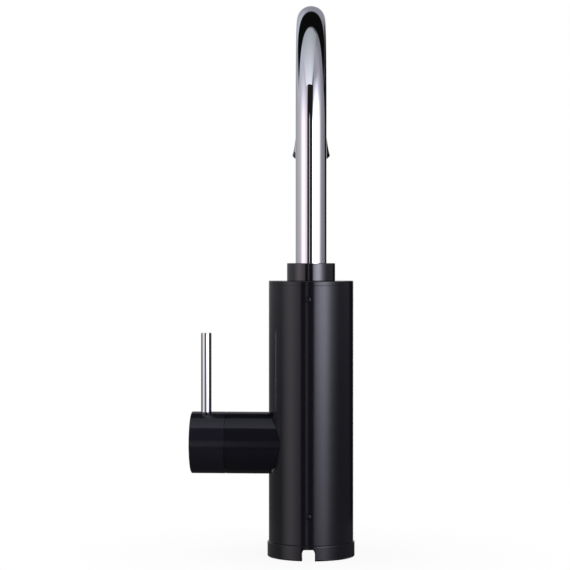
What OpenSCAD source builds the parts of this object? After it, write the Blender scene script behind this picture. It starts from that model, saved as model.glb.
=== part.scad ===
// Electric instant water heater tap: a slim round body with a heating tank inside, a side handle
// with a thin rod, and a gooseneck spout that swivels.
// The origin is the centre of the tap hole on the worktop, and +Z is up.
// The spout reaches forward along -Y, the handle stands out along +X, the cable leaves at +Y.
// All sizes are in millimetres.

/* [Body] */
// Diameter of the body shell
body_d = 60; // [54:0.5:66]
// Wall of the body shell
shell_wall = 2; // [1.6:0.1:2.2]
// Height of the shell's top edge above the worktop
shell_top = 192; // [188:1:215]
// Height of the top cap's visible rim
cap_rim = 3.2; // [2.5:0.1:5]
// Diameter of the collar nut
collar_d = 34.2; // [33:0.2:38]
// Height of the collar nut
collar_h = 12.4; // [11:0.2:16]
// Diameter of the recess and head of the screws at the back of the shell
shell_screw_d = 4; // [3.4:0.1:4.6]
// Distance of the upper back screw below the shell's top edge
upper_screw_drop = 9.7; // [7:0.1:12]
// Height of the lower back screw above the worktop
lower_screw_z = 31; // [26:0.5:34]

/* [Base] */
// How far the base flange stands out past the shell
flange_lip = 1; // [0.6:0.1:2]
// Height of the base flange
flange_h = 10.7; // [10.4:0.1:14]
// Bevel on the flange's top edge
flange_bevel = 0.6; // [0.3:0.1:0.8]
// Thickness of the flange's skirt
skirt_wall = 5; // [4.4:0.1:5.4]
// Width of the cable notch
notch_w = 9; // [7:0.5:10]
// Height of the cable notch
notch_h = 9.4; // [8:0.1:9.8]
// Thickness of the base floor
floor_t = 3.2; // [2.6:0.1:4]
// Wall of the base ring that plugs into the shell
plug_wall = 2.5; // [2:0.1:2.6]
// Width of the base gasket
gasket_w = 2.6; // [2:0.1:2.8]
// Thickness of the base gasket
gasket_t = 2; // [1.5:0.1:3]

/* [Water inlet] */
// Core diameter of the inlet's half-inch pipe thread
inlet_d = 18.6; // [18.4:0.1:18.8]
// Depth of the inlet thread
inlet_depth = 12.4; // [10:0.2:14]
// Diameter of the inlet fitting's shank
shank_d = 23.6; // [22.6:0.2:24]
// Thickness of the fitting's flange
inlet_flange_t = 2.2; // [1.6:0.1:2.4]
// Width across the flats of the inlet nut
inlet_nut_af = 26; // [25.6:0.1:26.4]
// Thickness of the inlet nut
inlet_nut_t = 6; // [4:0.5:7]
// Outer diameter of the inlet tube
tube_d = 12; // [11:0.2:12.4]
// Wall of the inlet tube
tube_wall = 1.8; // [1.6:0.1:2.2]
// Depth of the sockets that hold the inlet tube
socket_depth = 8; // [7:0.5:9]
// Thickness of the inlet's filter screen
screen_t = 1; // [0.6:0.1:1.5]

/* [Electric inlet] */
// Bore of the cable gland
gland_bore = 6.8; // [6:0.1:7.2]
// Distance of the gland and the terminal block from the body's axis
gland_y = 17.8; // [17.75:0.05:18]
// Length of the terminal block
block_len = 22; // [21.8:0.1:23]
// Height of the terminal block
block_h = 12; // [10:0.5:14]
// Depth of the terminal block
block_depth = 9; // [8:0.5:9.4]
// Spacing of the three terminals
terminal_pitch = 5.6; // [5.4:0.1:5.8]
// Diameter of the internal wires
wire_d = 2.2; // [1.8:0.1:2.4]

/* [Handle] */
// Height of the handle's axis above the worktop
barrel_z = 80; // [76:1:84]
// Diameter of the handle barrel
barrel_d = 44; // [42:0.5:45]
// Length of the fixed barrel cover past the shell
cover_len = 30; // [28:0.5:36]
// Wall of the barrel cover
cover_wall = 2.95; // [2.4:0.05:3.4]
// Gap between the fixed cover and the turning knob
seam_gap = 0.5; // [0.3:0.1:1]
// Length of the turning knob
knob_len = 24.5; // [23:0.5:30]
// Wall of the knob
knob_wall = 2.5; // [2:0.1:3]
// Rounding of the knob's outer edge
knob_edge = 0.8; // [0.4:0.1:1.5]
// Distance of the rod's axis from the knob's flat end
rod_inset = 10.3; // [9:0.1:11]
// Diameter of the lever rod
rod_d = 7.5; // [7:0.1:9]
// Length of the lever rod above the knob
rod_len = 56; // [40:1:80]

/* [Valve] */
// Wall of the cartridge housing
cup_wall = 3.9; // [3.4:0.1:4.2]
// Distance of the valve block's side face from the body's axis
block_face = 18; // [17.6:0.2:18.4]
// Thickness of the port gasket
port_gasket_t = 0.8; // [0.6:0.1:1.2]
// Thickness of the cartridge housing's floor
cup_floor_t = 3.2; // [3:0.1:3.6]
// Diameter of the ceramic discs
disc_d = 24; // [23:0.2:24.4]
// Thickness of each ceramic disc
disc_t = 3; // [2.6:0.1:3.4]
// Distance of the two outlet ports from the valve's axis
port_offset = 6; // [5.8:0.1:6.2]
// Diameter of the cartridge stem
stem_d = 10; // [9:0.2:10.4]
// Depth of the mixing gallery under the tank
gallery_depth = 12; // [11:0.2:12.6]

/* [Flow switch] */
// Distance of the flow switch from the body's axis
switch_x = 17; // [16.8:0.1:17.2]
// Diameter of the flow switch housing
switch_d = 15; // [14.4:0.1:15.4]
// Travel of the flow switch's plunger
plunger_travel = 1.5; // [1:0.1:1.8]
// Free height of the plunger's spring
spring_h = 8; // [7.5:0.1:8.4]
// Turns of the plunger's spring
spring_turns = 4; // [3:1:5]

/* [Heater] */
// Outer diameter of the heating tank
tank_d = 41; // [40.8:0.1:42]
// Wall of the heating tank
tank_wall = 2; // [1.6:0.1:2.1]
// Distance of the tank lid's seat below the shell's top edge
lid_drop = 20; // [19:0.5:24]
// Turns of the heating element
element_turns = 5; // [3:1:6]
// Diameter of the heating element's tube
element_d = 4.4; // [4:0.1:4.6]
// Distance of the element's coil and ends from the body's axis
element_r = 15.5; // [15.4:0.05:15.6]

/* [Spout] */
// Outer diameter of the spout pipe
pipe_d = 22; // [20:0.5:22.4]
// Wall of the spout pipe
pipe_wall = 1; // [0.8:0.1:1.4]
// Height of the bend's centre above the worktop
bend_z = 307; // [280:1:340]
// Radius of the bend at the middle of the pipe
bend_r = 80; // [60:1:100]
// Angle that the bend turns through
bend_angle = 160; // [140:1:180]
// Length of the straight leg after the bend, down to the rim
leg_len = 47; // [44:1:70]
// Length of the flared mouth
flare_len = 38; // [34:1:42]
// Diameter of the mouth at the rim
mouth_d = 29.6; // [28.6:0.2:32]
// Angle that the spout is turned to the side at rest
spout_turn = 3.4; // [-20:0.1:20]

/* [Outlet] */
// Height of the black aerator ring that shows at the rim
ring_h = 5.5; // [4.5:0.1:7]
// Bore of the aerator housing
aerator_bore = 19.2; // [18:0.2:19.6]

/* [Fits] */
// Radial clearance of parts that turn or slide in each other
fit = 0.05; // [0.02:0.01:0.1]
// Clearance of parts that are only set in each other
slack = 0.1; // [0.05:0.01:0.2]

/* [Hidden] */

black = "#1c1b1f";
dark_grey = "#3a3a3e";
chrome = "#d9dce0";
steel = "#b9bbbd";
brass = "#c9a24f";
rubber = "#26262a";
white = "#e9e8e2";
ceramic = "#dcd6c8";
nylon = "#c9c6b8";

round_fn = 96;
small_fn = 32;
lap = 1;
slot_w = 0.6;
slot_depth = 0.8;

shell_r = body_d / 2;
shell_in = shell_r - shell_wall;
cap_top = shell_top + cap_rim;
collar_top = cap_top + collar_h;
flange_r = shell_r + flange_lip;
recess_r = flange_r - skirt_wall;
notch_cover = 0.4;
floor_z = notch_h + notch_cover;
floor_top = floor_z + floor_t;
plug_r = shell_in - fit;
plug_in = plug_r - plug_wall;
screw_edge = 4.2;
plug_top = lower_screw_z + screw_edge;
upper_screw_z = shell_top - upper_screw_drop;
shell_screw_r = shell_screw_d / 2;
shell_screw_thread = 1.4;
head_sink = 0.3;
head_t = 1.2;
shell_hex_r = 1;
shell_hex_depth = 0.9;
rim_edge = 0.5;

gasket_edge = 1.2;
gasket_r = flange_r - gasket_edge - gasket_w;
foot_round = 0.8;

shank_r = shank_d / 2;
inlet_lip = 1;
inlet_flange_r = shank_r + inlet_lip;
inlet_z = floor_z - inlet_flange_t;
inlet_shoulder = inlet_z + inlet_depth;
tube_r = tube_d / 2;
screen_step = 0.9;
screen_seat_r = inlet_d / 2 - screen_step;
tube_stop = 1.5;
tube_low = inlet_shoulder + screen_t + tube_stop;
fitting_top = tube_low + socket_depth;
port_wall = 2.2;
port_r = tube_r + port_wall;
port_drop = 24;
port_z = barrel_z - port_drop;
tube_high = port_z + socket_depth;
seal_squeeze = 0.02;
seal_depth = 1.3;
seal_w = 1.9;
screen_pitch = 1.6;
screen_hole_r = 0.5;

gland_wall = 0.9;
gland_shank = gland_bore / 2 + gland_wall;
gland_lip = 0.6;
gland_flange = gland_shank + gland_lip;
gland_flange_t = 1.2;
gland_clip_r = gland_shank + gland_lip / 2;
gland_clip_t = 1.6;
gland_reach = 5;
gland_top = floor_top + gland_reach;

pillar_x = 9.2;
pillar_r = 2;
peg_r = 1.2;
peg_h = 6;
pillar_over = 0.5;
pillar_top = plug_top + pillar_over;
block_top_z = pillar_top + block_h;
wire_room = 0.3;
wire_hole_r = wire_d / 2 + wire_room;
wire_depth = 5;
clamp_screw_r = 1.5;
clamp_z = pillar_top + block_h / 2;
wire_r = wire_d / 2;
wire_start = block_top_z - wire_depth;

tag_t = 0.8;
tag_w = 3;
tag_ring = 1.2;
tag_angle = 30;
tag_r = 15.6;
tag_h = 9;
tag_high = floor_top + tag_h;

barrel_r = barrel_d / 2;
cover_end = shell_r + cover_len;
cover_in = barrel_r - cover_wall;
cover_end_wall = 2.5;
stem_room = 1;
stem_hole = stem_d / 2 + stem_room;
knob_x = cover_end + seam_gap;
knob_end = knob_x + knob_len;
rod_x = knob_end - rod_inset;
rod_r = rod_d / 2;
rod_top = barrel_z + barrel_r + rod_len;
rod_seat_h = 14;
rod_seat = barrel_z + rod_seat_h;
rod_thread_r = 2.5;
rod_thread_len = 8;
hub_r = 9;
stem_short = 3.5;
stem_end = rod_x - rod_thread_r - stem_short;
grub_inset = 3.5;
grub_x = stem_end - grub_inset;
grub_r = 2;
grub_len = 9;
grub_hex_r = 1.15;
grub_hex_depth = 2.5;
flat_depth = 0.6;
flat_len = 3.5;
knob_end_wall = 3;
boss_wall = 2;
seam_edge = 0.3;
stem_gap = 0.5;
rod_edge = 0.3;

cup_r = cover_in - fit;
cup_bore = cup_r - cup_wall;
cup_x = block_face + port_gasket_t;
cup_floor = cup_x + cup_floor_t;
cup_short = 6;
cup_end = cover_end - cup_short;
disc_r = disc_d / 2;
disc_seal_t = 1;
fixed_x = cup_floor + disc_seal_t;
moving_x = fixed_x + disc_t + fit;
stem_x = moving_x + disc_t + fit;
stem_flange_t = 2.6;
stem_flange_step = 2;
stem_flange_r = disc_r - stem_flange_step;
stem_r = stem_d / 2;
body_step = stem_x + stem_flange_t + slack;
neck_inset = 10;
neck_x = cup_end - neck_inset;
neck_r = 8.4;
neck_len = 5;
stem_seal_x = (body_step + neck_x + neck_len) / 2;
cartridge_nut_t = 6;
lug = 3;
lug_h = 1.2;
lug_y = 7;
nut_slot_w = 3;
nut_slot_depth = 2;
nut_slot_len = 4;
pocket_depth = 1.4;
port_r_mid = 2.4;
port_r_side = 2.2;
riser_r = 2.4;
riser_x = 5;
riser_inlet_r = 4;
valve_screw_off = 8.5;
valve_screw_r = 1.5;
valve_screw_head = 2.9;
valve_head_t = 2;
valve_hex_r = 1.3;
valve_hex_depth = 1.1;
block_back = 2;
block_over = 3;
block_top = barrel_z + cup_r + block_over;
boss_r = 12;
gallery_r = 9.8;
valve_screw_gap = 1;
valve_screw_low = gallery_r + valve_screw_gap;
gallery_z = block_top - gallery_depth;
arm_drop = 14;
arm_z = block_top - arm_drop;
arm_step = 4;
arm_top = block_top - arm_step;
arm_w = 12;

sense_h = 3;
sense_z = gallery_z + sense_h;
sense_r = 1.5;
switch_r = switch_d / 2;
ear_y = 10.5;
ear_r = 3;
ear_t = 3;
small_screw_r = 1.15;
small_screw_len = 6;
small_head_r = 1.9;
small_head_t = 1.8;
diaphragm_t = 1;
switch_top = arm_z - diaphragm_t;
head_r = 5.5;
head_h = 2.5;
chamber_room = 0.3;
chamber_r = head_r + chamber_room;
dish_room = 1;
dish_r = head_r + dish_room;
dish_depth = 1.5;
plunger_r = 2;
spring_top = switch_top - head_h;
spring_low = spring_top - spring_h;
spring_wire = 0.7;
spring_r = 3.9;
switch_floor_t = 2.5;
switch_low = spring_low - switch_floor_t;
plunger_out = 2.5;
plunger_tip = switch_low - plunger_out;
micro_gap = 2;
micro_top = plunger_tip - micro_gap;
micro_len = 19.8;
micro_w = 6.4;
micro_h = 10.2;
micro_low = micro_top - micro_h;
micro_hole_y = 4.75;
micro_hole_h = 2.8;
micro_hole_z = micro_low + micro_hole_h;
micro_screw_r = 1;
micro_head_r = 1.8;
micro_head_t = 0.8;
button_step = 0.5;
button_r = plunger_r - button_step;
button_depth = 4;
bracket_t = 2;
bracket_w = 12;
bracket_x = -micro_w / 2 - bracket_t - fit;
tab_y = 7;
tab_w = 3;
tab_t = 0.5;
tab_len = 4.3;
tab_low = micro_low - tab_len;

tank_r = tank_d / 2;
tank_in = tank_r - tank_wall;
tank_low = block_top;
tank_floor_t = 4;
tank_floor = tank_low + tank_floor_t;
lid_seat = shell_top - lid_drop;
tank_rim_r = 24.6;
tank_rim_t = 4;
lid_t = 4;
lid_plug = 4;
lid_top = lid_seat + lid_t;
tank_screw_r = 1.2;
tank_screw_pcr = 22.7;
tank_screw_head = 1.8;
tank_head_t = 1.8;
spigot_r = gallery_r - fit;
spigot_len = 8;
spigot_bore = 5;

cutout_gap = 0.3;
cutout_r = tank_r + cutout_gap;
cutout_w = 8;
cutout_t = 3;
cutout_lift = 6;
cutout_low = tank_floor + cutout_lift;
cutout_h = 20;
cutout_y = cutout_r + cutout_t / 2;
cutout_lead_x = 2.2;
cutout_lead_w = 1.2;
cutout_lead_t = 0.5;
cutout_lead_len = 3;
cutout_lead_low = cutout_low - cutout_lead_len;
rail_t = 1.6;
ledge_t = 2;

pipe_r = pipe_d / 2;
pipe_in = pipe_r - pipe_wall;
weld_step = 0.05;
weld_lap = 0.3;
socket_floor_t = 1.6;
socket_z = lid_top + socket_floor_t;
collar_over = 4;
neck_top = collar_top - collar_over;
socket_r = pipe_r + fit;
neck_wall = 3.45;
lid_neck_r = socket_r + neck_wall;
spout_low = socket_z + slack;
spigot_wall = 3;
spout_spigot_r = pipe_r - spigot_wall;
thick_over = 4;
thick_top = collar_top + thick_over;
slip_t = 0.6;
clip_z = neck_top + slip_t + slack;
clip_t = 1.2;
clip_depth = 1.1;
clip_out = 2.8;
clip_gap = 6;
clip_room = 0.5;
lip_z = clip_z + clip_t + clip_room;
bend_end = 180 - bend_angle;
flare_z = leg_len - flare_len;
mouth_r = mouth_d / 2;
flare_arc = (flare_len * flare_len + pow(mouth_r - pipe_r, 2)) / (2 * (mouth_r - pipe_r));
ring_z = leg_len - ring_h;
housing_len = 12.5;
seat_z = leg_len - ring_h - housing_len;
counter_r = pipe_r;
washer_t = 1.2;
ring_lip = 1.4;
ring_bevel = 1.2;
aerator_r = aerator_bore / 2;
lip_w = 1;
lip_r = aerator_r - lip_w;
insert_gap = 1.5;
insert_low = seat_z + washer_t + insert_gap;
insert_pitch = 3.4;
insert_hole_r = 1.3;
mesh_t = 0.6;
mesh_pitch = 2.6;
mesh_hole_r = 0.8;

element_end = atan2(14.6, -6.5);
element_out = 3.5;
element_low = tank_low - element_out;
pin_len = 4;
pin_r = 1;
element_seal_t = 1.2;
element_seal_w = 0.7;
element_seal_r = element_d / 2 + element_seal_w;
element_nut_t = 3;
element_nut_r = 3.3;
coil_lift = 12;
coil_low = tank_floor + coil_lift;
coil_drop = 6;
coil_high = lid_seat - lid_plug - coil_drop;
return_lift = 6;
return_z = tank_floor + return_lift;
return_r = 5;

// Functions that sweep a round tube along a path

function unit(v) = v / norm(v);

function across(v, t) = unit(v - (v * t) * t);

function tangents(p) = [
    for (i = [0:len(p) - 1]) unit(p[min(i + 1, len(p) - 1)] - p[max(i - 1, 0)])
];

function normals(t) = [
    for (
        i = 0, n = across(abs(t[0].z) < 0.8 ? [0, 0, 1] : [1, 0, 0], t[0]);
        i < len(t);
        i = i + 1, n = i < len(t) ? across(n, t[i]) : n
    ) n
];

function cut_corners(p, times) = times == 0 ? p : cut_corners(
    concat(
        [p[0]],
        [for (i = [0:len(p) - 2]) each [p[i] * 0.75 + p[i + 1] * 0.25, p[i] * 0.25 + p[i + 1] * 0.75]],
        [p[len(p) - 1]]
    ),
    times - 1
);

function at_angle(r, a, z) = [r * cos(a), r * sin(a), z];

function helix(r, z0, z1, a0, turns, steps) = [
    for (i = [0:turns * steps]) at_angle(r, a0 + 360 * i / steps, z0 + (z1 - z0) * i / (turns * steps))
];

module tube(path, r, sides = 8) {
    t = tangents(path);
    n = normals(t);
    last = (len(path) - 1) * sides;
    points = [
        for (i = [0:len(path) - 1])
            for (k = [0:sides - 1])
                path[i] + r * (n[i] * cos(360 * k / sides) + cross(t[i], n[i]) * sin(360 * k / sides))
    ];
    walls = [
        for (i = [0:len(path) - 2])
            for (k = [0:sides - 1])
                let (a = i * sides + k, b = i * sides + (k + 1) % sides)
                    each [[a, a + sides, b + sides], [a, b + sides, b]]
    ];
    caps = [for (k = [1:sides - 2]) each [[0, k, k + 1], [last, last + k + 1, last + k]]];
    polyhedron(points, concat(walls, caps));
}

// Shapes used by several parts

module ring(z0, z1, r_out, r_in) {
    translate([0, 0, z0]) difference() {
        cylinder(h = z1 - z0, r = r_out, $fn = round_fn);
        translate([0, 0, -lap]) cylinder(h = z1 - z0 + 2 * lap, r = r_in, $fn = round_fn);
    }
}

module disc(z0, z1, r) {
    translate([0, 0, z0]) cylinder(h = z1 - z0, r = r, $fn = round_fn);
}

module hex(z0, z1, r) {
    translate([0, 0, z0]) cylinder(h = z1 - z0, r = r, $fn = 6);
}

module slot(z, r) {
    translate([-r - lap, -slot_w / 2, z]) cube([2 * (r + lap), slot_w, slot_depth + lap]);
}

module back_hole(z, wall_in, wall, r) {
    translate([0, wall_in - lap, z]) rotate([-90, 0, 0])
        cylinder(h = wall + 3 * lap, r = r, $fn = small_fn);
}

module on_barrel() {
    translate([0, 0, barrel_z]) rotate([0, 90, 0]) children();
}

module o_ring(z, r_in, r_out) {
    section = (r_out - r_in) / 2 - seal_squeeze;
    translate([0, 0, z]) rotate_extrude($fn = round_fn) translate([(r_in + r_out) / 2, 0])
        circle(r = section, $fn = small_fn);
}

module groove(z, r_bottom, r_out) {
    ring(z - seal_w / 2, z + seal_w / 2, r_out + lap, r_bottom);
}

// Base

module notch(extra = 0) {
    r = notch_w / 2 + extra;
    top = notch_h + extra;
    translate([0, recess_r - skirt_wall, 0]) rotate([-90, 0, 0]) linear_extrude(3 * skirt_wall) {
        translate([0, r - top]) circle(r = r, $fn = small_fn * 2);
        translate([-r, r - top]) square([2 * r, top - r + lap]);
    }
}

module flange_profile() {
    polygon([
        [0, 0],
        for (a = [-90:15:0]) [flange_r - foot_round + foot_round * cos(a), foot_round + foot_round * sin(a)],
        [flange_r, flange_h - flange_bevel],
        [flange_r - flange_bevel, flange_h],
        [plug_r, flange_h],
        [plug_r, floor_top],
        [0, floor_top]
    ]);
}

module base_flange() {
    color(black) difference() {
        union() {
            rotate_extrude($fn = round_fn) flange_profile();
            ring(floor_top - lap, plug_top, plug_r, plug_in);
            for (side = [-1, 1]) translate([side * pillar_x, gland_y, 0]) {
                disc(floor_top - lap, pillar_top, pillar_r);
                disc(pillar_top - lap, pillar_top + peg_h, peg_r);
            }
        }
        disc(-lap, floor_z, recess_r);
        ring(-lap, gasket_t + fit, gasket_r + gasket_w + fit, gasket_r - fit);
        notch();
        disc(floor_z - lap, floor_top + lap, shank_r + slack);
        translate([0, gland_y, 0]) disc(floor_z - lap, floor_top + lap, gland_shank + slack);
        back_hole(lower_screw_z, plug_in, plug_wall, shell_screw_thread + fit);
    }
}

module base_gasket() {
    color(rubber) difference() {
        ring(0, gasket_t, gasket_r + gasket_w, gasket_r);
        notch(0.6);
    }
}

// Water inlet

module inlet_fitting() {
    color(brass) difference() {
        union() {
            disc(inlet_z, floor_z, inlet_flange_r);
            disc(floor_z - lap, fitting_top, shank_r);
        }
        disc(inlet_z - lap, inlet_shoulder, inlet_d / 2);
        disc(inlet_shoulder - lap, inlet_shoulder + screen_t, screen_seat_r);
        disc(inlet_shoulder - lap, fitting_top, tube_r - tube_wall);
        disc(tube_low, fitting_top + lap, tube_r + fit);
    }
}

module inlet_nut() {
    low = floor_top + tag_t;
    color(brass) difference() {
        hex(low, low + inlet_nut_t, inlet_nut_af / 2 / cos(30));
        disc(low - lap, low + inlet_nut_t + lap, shank_r + fit);
    }
}

module inlet_screen() {
    high = inlet_shoulder + screen_t;
    reach = tube_r - tube_wall - screen_hole_r;
    rows = floor(reach / screen_pitch);
    color(steel) difference() {
        disc(inlet_shoulder, high, screen_seat_r - fit);
        for (i = [-rows:rows]) for (j = [-rows:rows]) {
            place = screen_pitch * [i, j, 0];
            if (norm(place) < reach) translate(place) disc(inlet_shoulder - lap, high + lap, screen_hole_r);
        }
    }
}

module inlet_tube() {
    color(steel) difference() {
        ring(tube_low + slack, tube_high - slack, tube_r, tube_r - tube_wall);
        for (z = inlet_seal_z()) groove(z, tube_r - seal_depth, tube_r);
    }
}

function inlet_seal_z() = [fitting_top - socket_depth / 2, port_z + socket_depth / 2];

module inlet_tube_seals() {
    color(rubber) for (z = inlet_seal_z()) o_ring(z, tube_r - seal_depth, tube_r + fit);
}

// Electric inlet

module cable_gland() {
    color(black) translate([0, gland_y, 0]) difference() {
        union() {
            disc(floor_z - gland_flange_t, floor_z, gland_flange);
            disc(floor_z - lap, gland_top, gland_shank);
            disc(floor_top + fit, floor_top + gland_clip_t, gland_clip_r);
        }
        disc(floor_z - gland_flange_t - lap, gland_top + lap, gland_bore / 2);
    }
}

module terminal_block() {
    color(nylon) difference() {
        translate([-block_len / 2, gland_y - block_depth / 2, pillar_top])
            cube([block_len, block_depth, block_h]);
        for (i = [-1:1]) translate([i * terminal_pitch, 0, 0]) {
            translate([0, gland_y, 0]) disc(pillar_top - lap, block_top_z + lap, wire_hole_r);
            translate([0, gland_y - block_depth / 2 - lap, clamp_z]) rotate([-90, 0, 0])
                cylinder(h = block_depth / 2 + lap, r = clamp_screw_r + fit, $fn = small_fn);
        }
        for (side = [-1, 1]) translate([side * pillar_x, gland_y, 0])
            disc(pillar_top - lap, pillar_top + peg_h + slack, peg_r + fit);
    }
}

module terminal_screws() {
    len = block_depth / 2 - wire_hole_r - slack;
    color(steel) for (i = [-1:1]) translate([i * terminal_pitch, gland_y - block_depth / 2, clamp_z])
        rotate([-90, 0, 0]) difference() {
            cylinder(h = len, r = clamp_screw_r, $fn = small_fn);
            slot(-lap, clamp_screw_r);
        }
}

module earth_tag() {
    arm = tag_r + tag_t / 2;
    color(brass) difference() {
        union() {
            disc(floor_top, floor_top + tag_t, shank_r + tag_ring);
            rotate([0, 0, tag_angle]) translate([0, -tag_w / 2, floor_top]) {
                translate([shank_r + tag_ring / 2, 0, 0]) cube([arm - shank_r - tag_ring / 2, tag_w, tag_t]);
                translate([arm - tag_t, 0, 0]) cube([tag_t, tag_w, tag_high - floor_top]);
            }
        }
        disc(floor_top - lap, floor_top + tag_t + lap, shank_r + fit);
    }
}

module wire_live() {
    color("#6b4226") tube(cut_corners([
        [terminal_pitch, gland_y, wire_start],
        [terminal_pitch, gland_y, block_top_z + 4],
        [6, 21.5, barrel_z - 14],
        [4, 22, barrel_z + 10],
        [cutout_lead_x, cutout_y, cutout_lead_low - 8],
        [cutout_lead_x, cutout_y, cutout_lead_low]
    ], 2), wire_r);
}

module wire_neutral() {
    end = at_angle(element_r, element_end, element_low - pin_len);
    color("#2f6fb5") tube(cut_corners([
        [-terminal_pitch, gland_y, wire_start],
        [-terminal_pitch, gland_y, block_top_z + 4],
        [-9, 20, barrel_z - 14],
        [-9, 17, barrel_z - 4],
        [end.x, end.y, end.z - 8],
        end
    ], 2), wire_r);
}

module wire_earth() {
    end = at_angle(tag_r, tag_angle, tag_high);
    color("#5d8a35") tube(cut_corners([
        [0, gland_y, wire_start],
        [0, gland_y, block_top_z + 4],
        [4, 13, block_top_z + 5],
        [10, 10, block_top_z],
        [end.x, end.y, tag_high + 12],
        end
    ], 2), wire_r);
}

module wire_link() {
    color("#6b4226") tube(cut_corners([
        [-cutout_lead_x, cutout_y, cutout_lead_low],
        [-cutout_lead_x, cutout_y, cutout_lead_low - 6],
        [-8, 21.5, barrel_z + 16],
        [-14, 18, barrel_z + 4],
        [-switch_x, 15, barrel_z - 14],
        [-switch_x, 14.5, tab_low - 1],
        [-switch_x, 11, tab_low - 7],
        [-switch_x, tab_y, tab_low - 6],
        [-switch_x, tab_y, tab_low]
    ], 2), wire_r);
}

module wire_heater() {
    end = at_angle(element_r, -element_end, element_low - pin_len);
    color("#6b4226") tube(cut_corners([
        [-switch_x, -tab_y, tab_low],
        [-switch_x, -tab_y, tab_low - 6],
        [-switch_x, -11, tab_low - 7],
        [-switch_x, -14.5, tab_low - 1],
        [-17, -15, barrel_z - 14],
        [-12, -17, barrel_z - 2],
        [end.x, end.y, end.z - 8],
        end
    ], 2), wire_r);
}

// Body shell and cap

module body_shell() {
    color(black) difference() {
        ring(flange_h, shell_top, shell_r, shell_in);
        on_barrel() disc(0, shell_r + lap, cup_r + slack);
        for (z = [lower_screw_z, upper_screw_z]) back_hole(z, shell_in, shell_wall, shell_screw_r + fit);
    }
}

module shell_screws() {
    outer = shell_r - head_sink;
    color(dark_grey) for (z = [lower_screw_z, upper_screw_z]) translate([0, 0, z]) rotate([-90, 0, 0])
        difference() {
            union() {
                disc(outer - head_t, outer, shell_screw_r);
                disc(plug_in, outer - lap, shell_screw_thread);
            }
            hex(outer - shell_hex_depth, outer + lap, shell_hex_r);
        }
}

module top_cap() {
    color(black) difference() {
        union() {
            rotate_extrude($fn = round_fn) polygon([
                [0, shell_top],
                [shell_r, shell_top],
                [shell_r, cap_top - rim_edge],
                [shell_r - rim_edge, cap_top],
                [0, cap_top]
            ]);
            ring(upper_screw_z - screw_edge, shell_top + lap, plug_r, plug_in);
        }
        disc(shell_top - lap, cap_top + lap, lid_neck_r + slack);
        back_hole(upper_screw_z, plug_in, plug_wall, shell_screw_thread + fit);
    }
}

module collar_nut() {
    color(black) difference() {
        rotate_extrude($fn = round_fn) polygon([
            [0, cap_top],
            [collar_d / 2, cap_top],
            [collar_d / 2, collar_top - rim_edge],
            [collar_d / 2 - rim_edge, collar_top],
            [0, collar_top]
        ]);
        disc(cap_top - lap, lip_z, lid_neck_r + fit);
        disc(cap_top, collar_top + lap, pipe_r + slack);
    }
}

// Valve

module ports(x0, x1, mid_r, side_r) {
    on_barrel() {
        disc(x0, x1, mid_r);
        for (side = [-1, 1]) translate([0, side * port_offset, 0]) disc(x0, x1, side_r);
    }
}

module valve_screw_places() {
    for (side = [-1, 1]) on_barrel() translate([side * valve_screw_off, 0, 0]) children();
}

module valve_block() {
    color(brass) difference() {
        union() {
            on_barrel() disc(-block_back, block_face, cup_r);
            disc(port_z, arm_z + lap, port_r);
            disc(arm_z, block_top, boss_r);
            translate([-switch_x, -arm_w / 2, arm_z]) cube([switch_x, arm_w, arm_top - arm_z]);
            at_switch() disc(arm_z, arm_top, switch_r);
            at_switch() ears(arm_z, arm_top);
        }
        disc(port_z - lap, tube_high, tube_r + fit);
        disc(tube_high - lap, barrel_z + riser_inlet_r, riser_inlet_r);
        ports(riser_x, block_face + lap, port_r_mid, port_r_side);
        on_barrel() disc(0, riser_x + lap, port_r_mid);
        for (side = [-1, 1]) translate([riser_x, side * port_offset, 0])
            disc(barrel_z - riser_r, gallery_z + lap, riser_r);
        disc(gallery_z, block_top + lap, gallery_r);
        translate([-switch_x, 0, sense_z]) rotate([0, 90, 0])
            cylinder(h = switch_x - gallery_r + 2 * lap, r = sense_r, $fn = small_fn);
        at_switch() {
            disc(arm_z, sense_z, sense_r + slack);
            disc(arm_z - lap, arm_z + dish_depth, dish_r);
            for (side = [-1, 1]) translate([0, side * ear_y, 0])
                disc(arm_z - lap, arm_z + small_screw_len + slack, small_screw_r + fit);
        }
        valve_screw_places() disc(valve_screw_low - slack, block_face + lap, valve_screw_r + fit);
    }
}

module port_gasket() {
    color(rubber) difference() {
        on_barrel() disc(block_face, cup_x, cup_bore);
        ports(block_face - lap, cup_x + lap, port_r_mid, port_r_side);
        valve_screw_places() disc(block_face - lap, cup_x + lap, valve_screw_r + slack);
    }
}

module cartridge_housing() {
    color(brass) difference() {
        on_barrel() disc(cup_x, cup_end, cup_r);
        on_barrel() disc(cup_floor, cup_end + lap, cup_bore);
        ports(cup_x - lap, cup_floor + lap, port_r_mid, port_r_side);
        valve_screw_places() {
            disc(cup_x - lap, cup_floor + lap, valve_screw_r + slack);
            disc(cup_floor - valve_head_t, cup_floor + lap, valve_screw_head + slack);
        }
    }
}

module valve_screws() {
    color(steel) valve_screw_places() difference() {
        union() {
            disc(cup_floor - valve_head_t, cup_floor - slack, valve_screw_head);
            disc(valve_screw_low, cup_floor - lap, valve_screw_r);
        }
        hex(cup_floor - slack - valve_hex_depth, cup_floor + lap, valve_hex_r);
    }
}

module cartridge_body() {
    color(white) difference() {
        on_barrel() union() {
            disc(cup_floor, neck_x, cup_bore - fit);
            disc(neck_x - lap, neck_x + neck_len, neck_r);
        }
        on_barrel() disc(cup_floor - lap, body_step, disc_r + slack);
        on_barrel() disc(body_step - lap, cup_end, stem_r + fit);
    }
}

module disc_seal() {
    color(rubber) difference() {
        on_barrel() disc(cup_floor, fixed_x, disc_r);
        ports(cup_floor - lap, fixed_x + lap, port_r_mid, port_r_side);
    }
}

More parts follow.
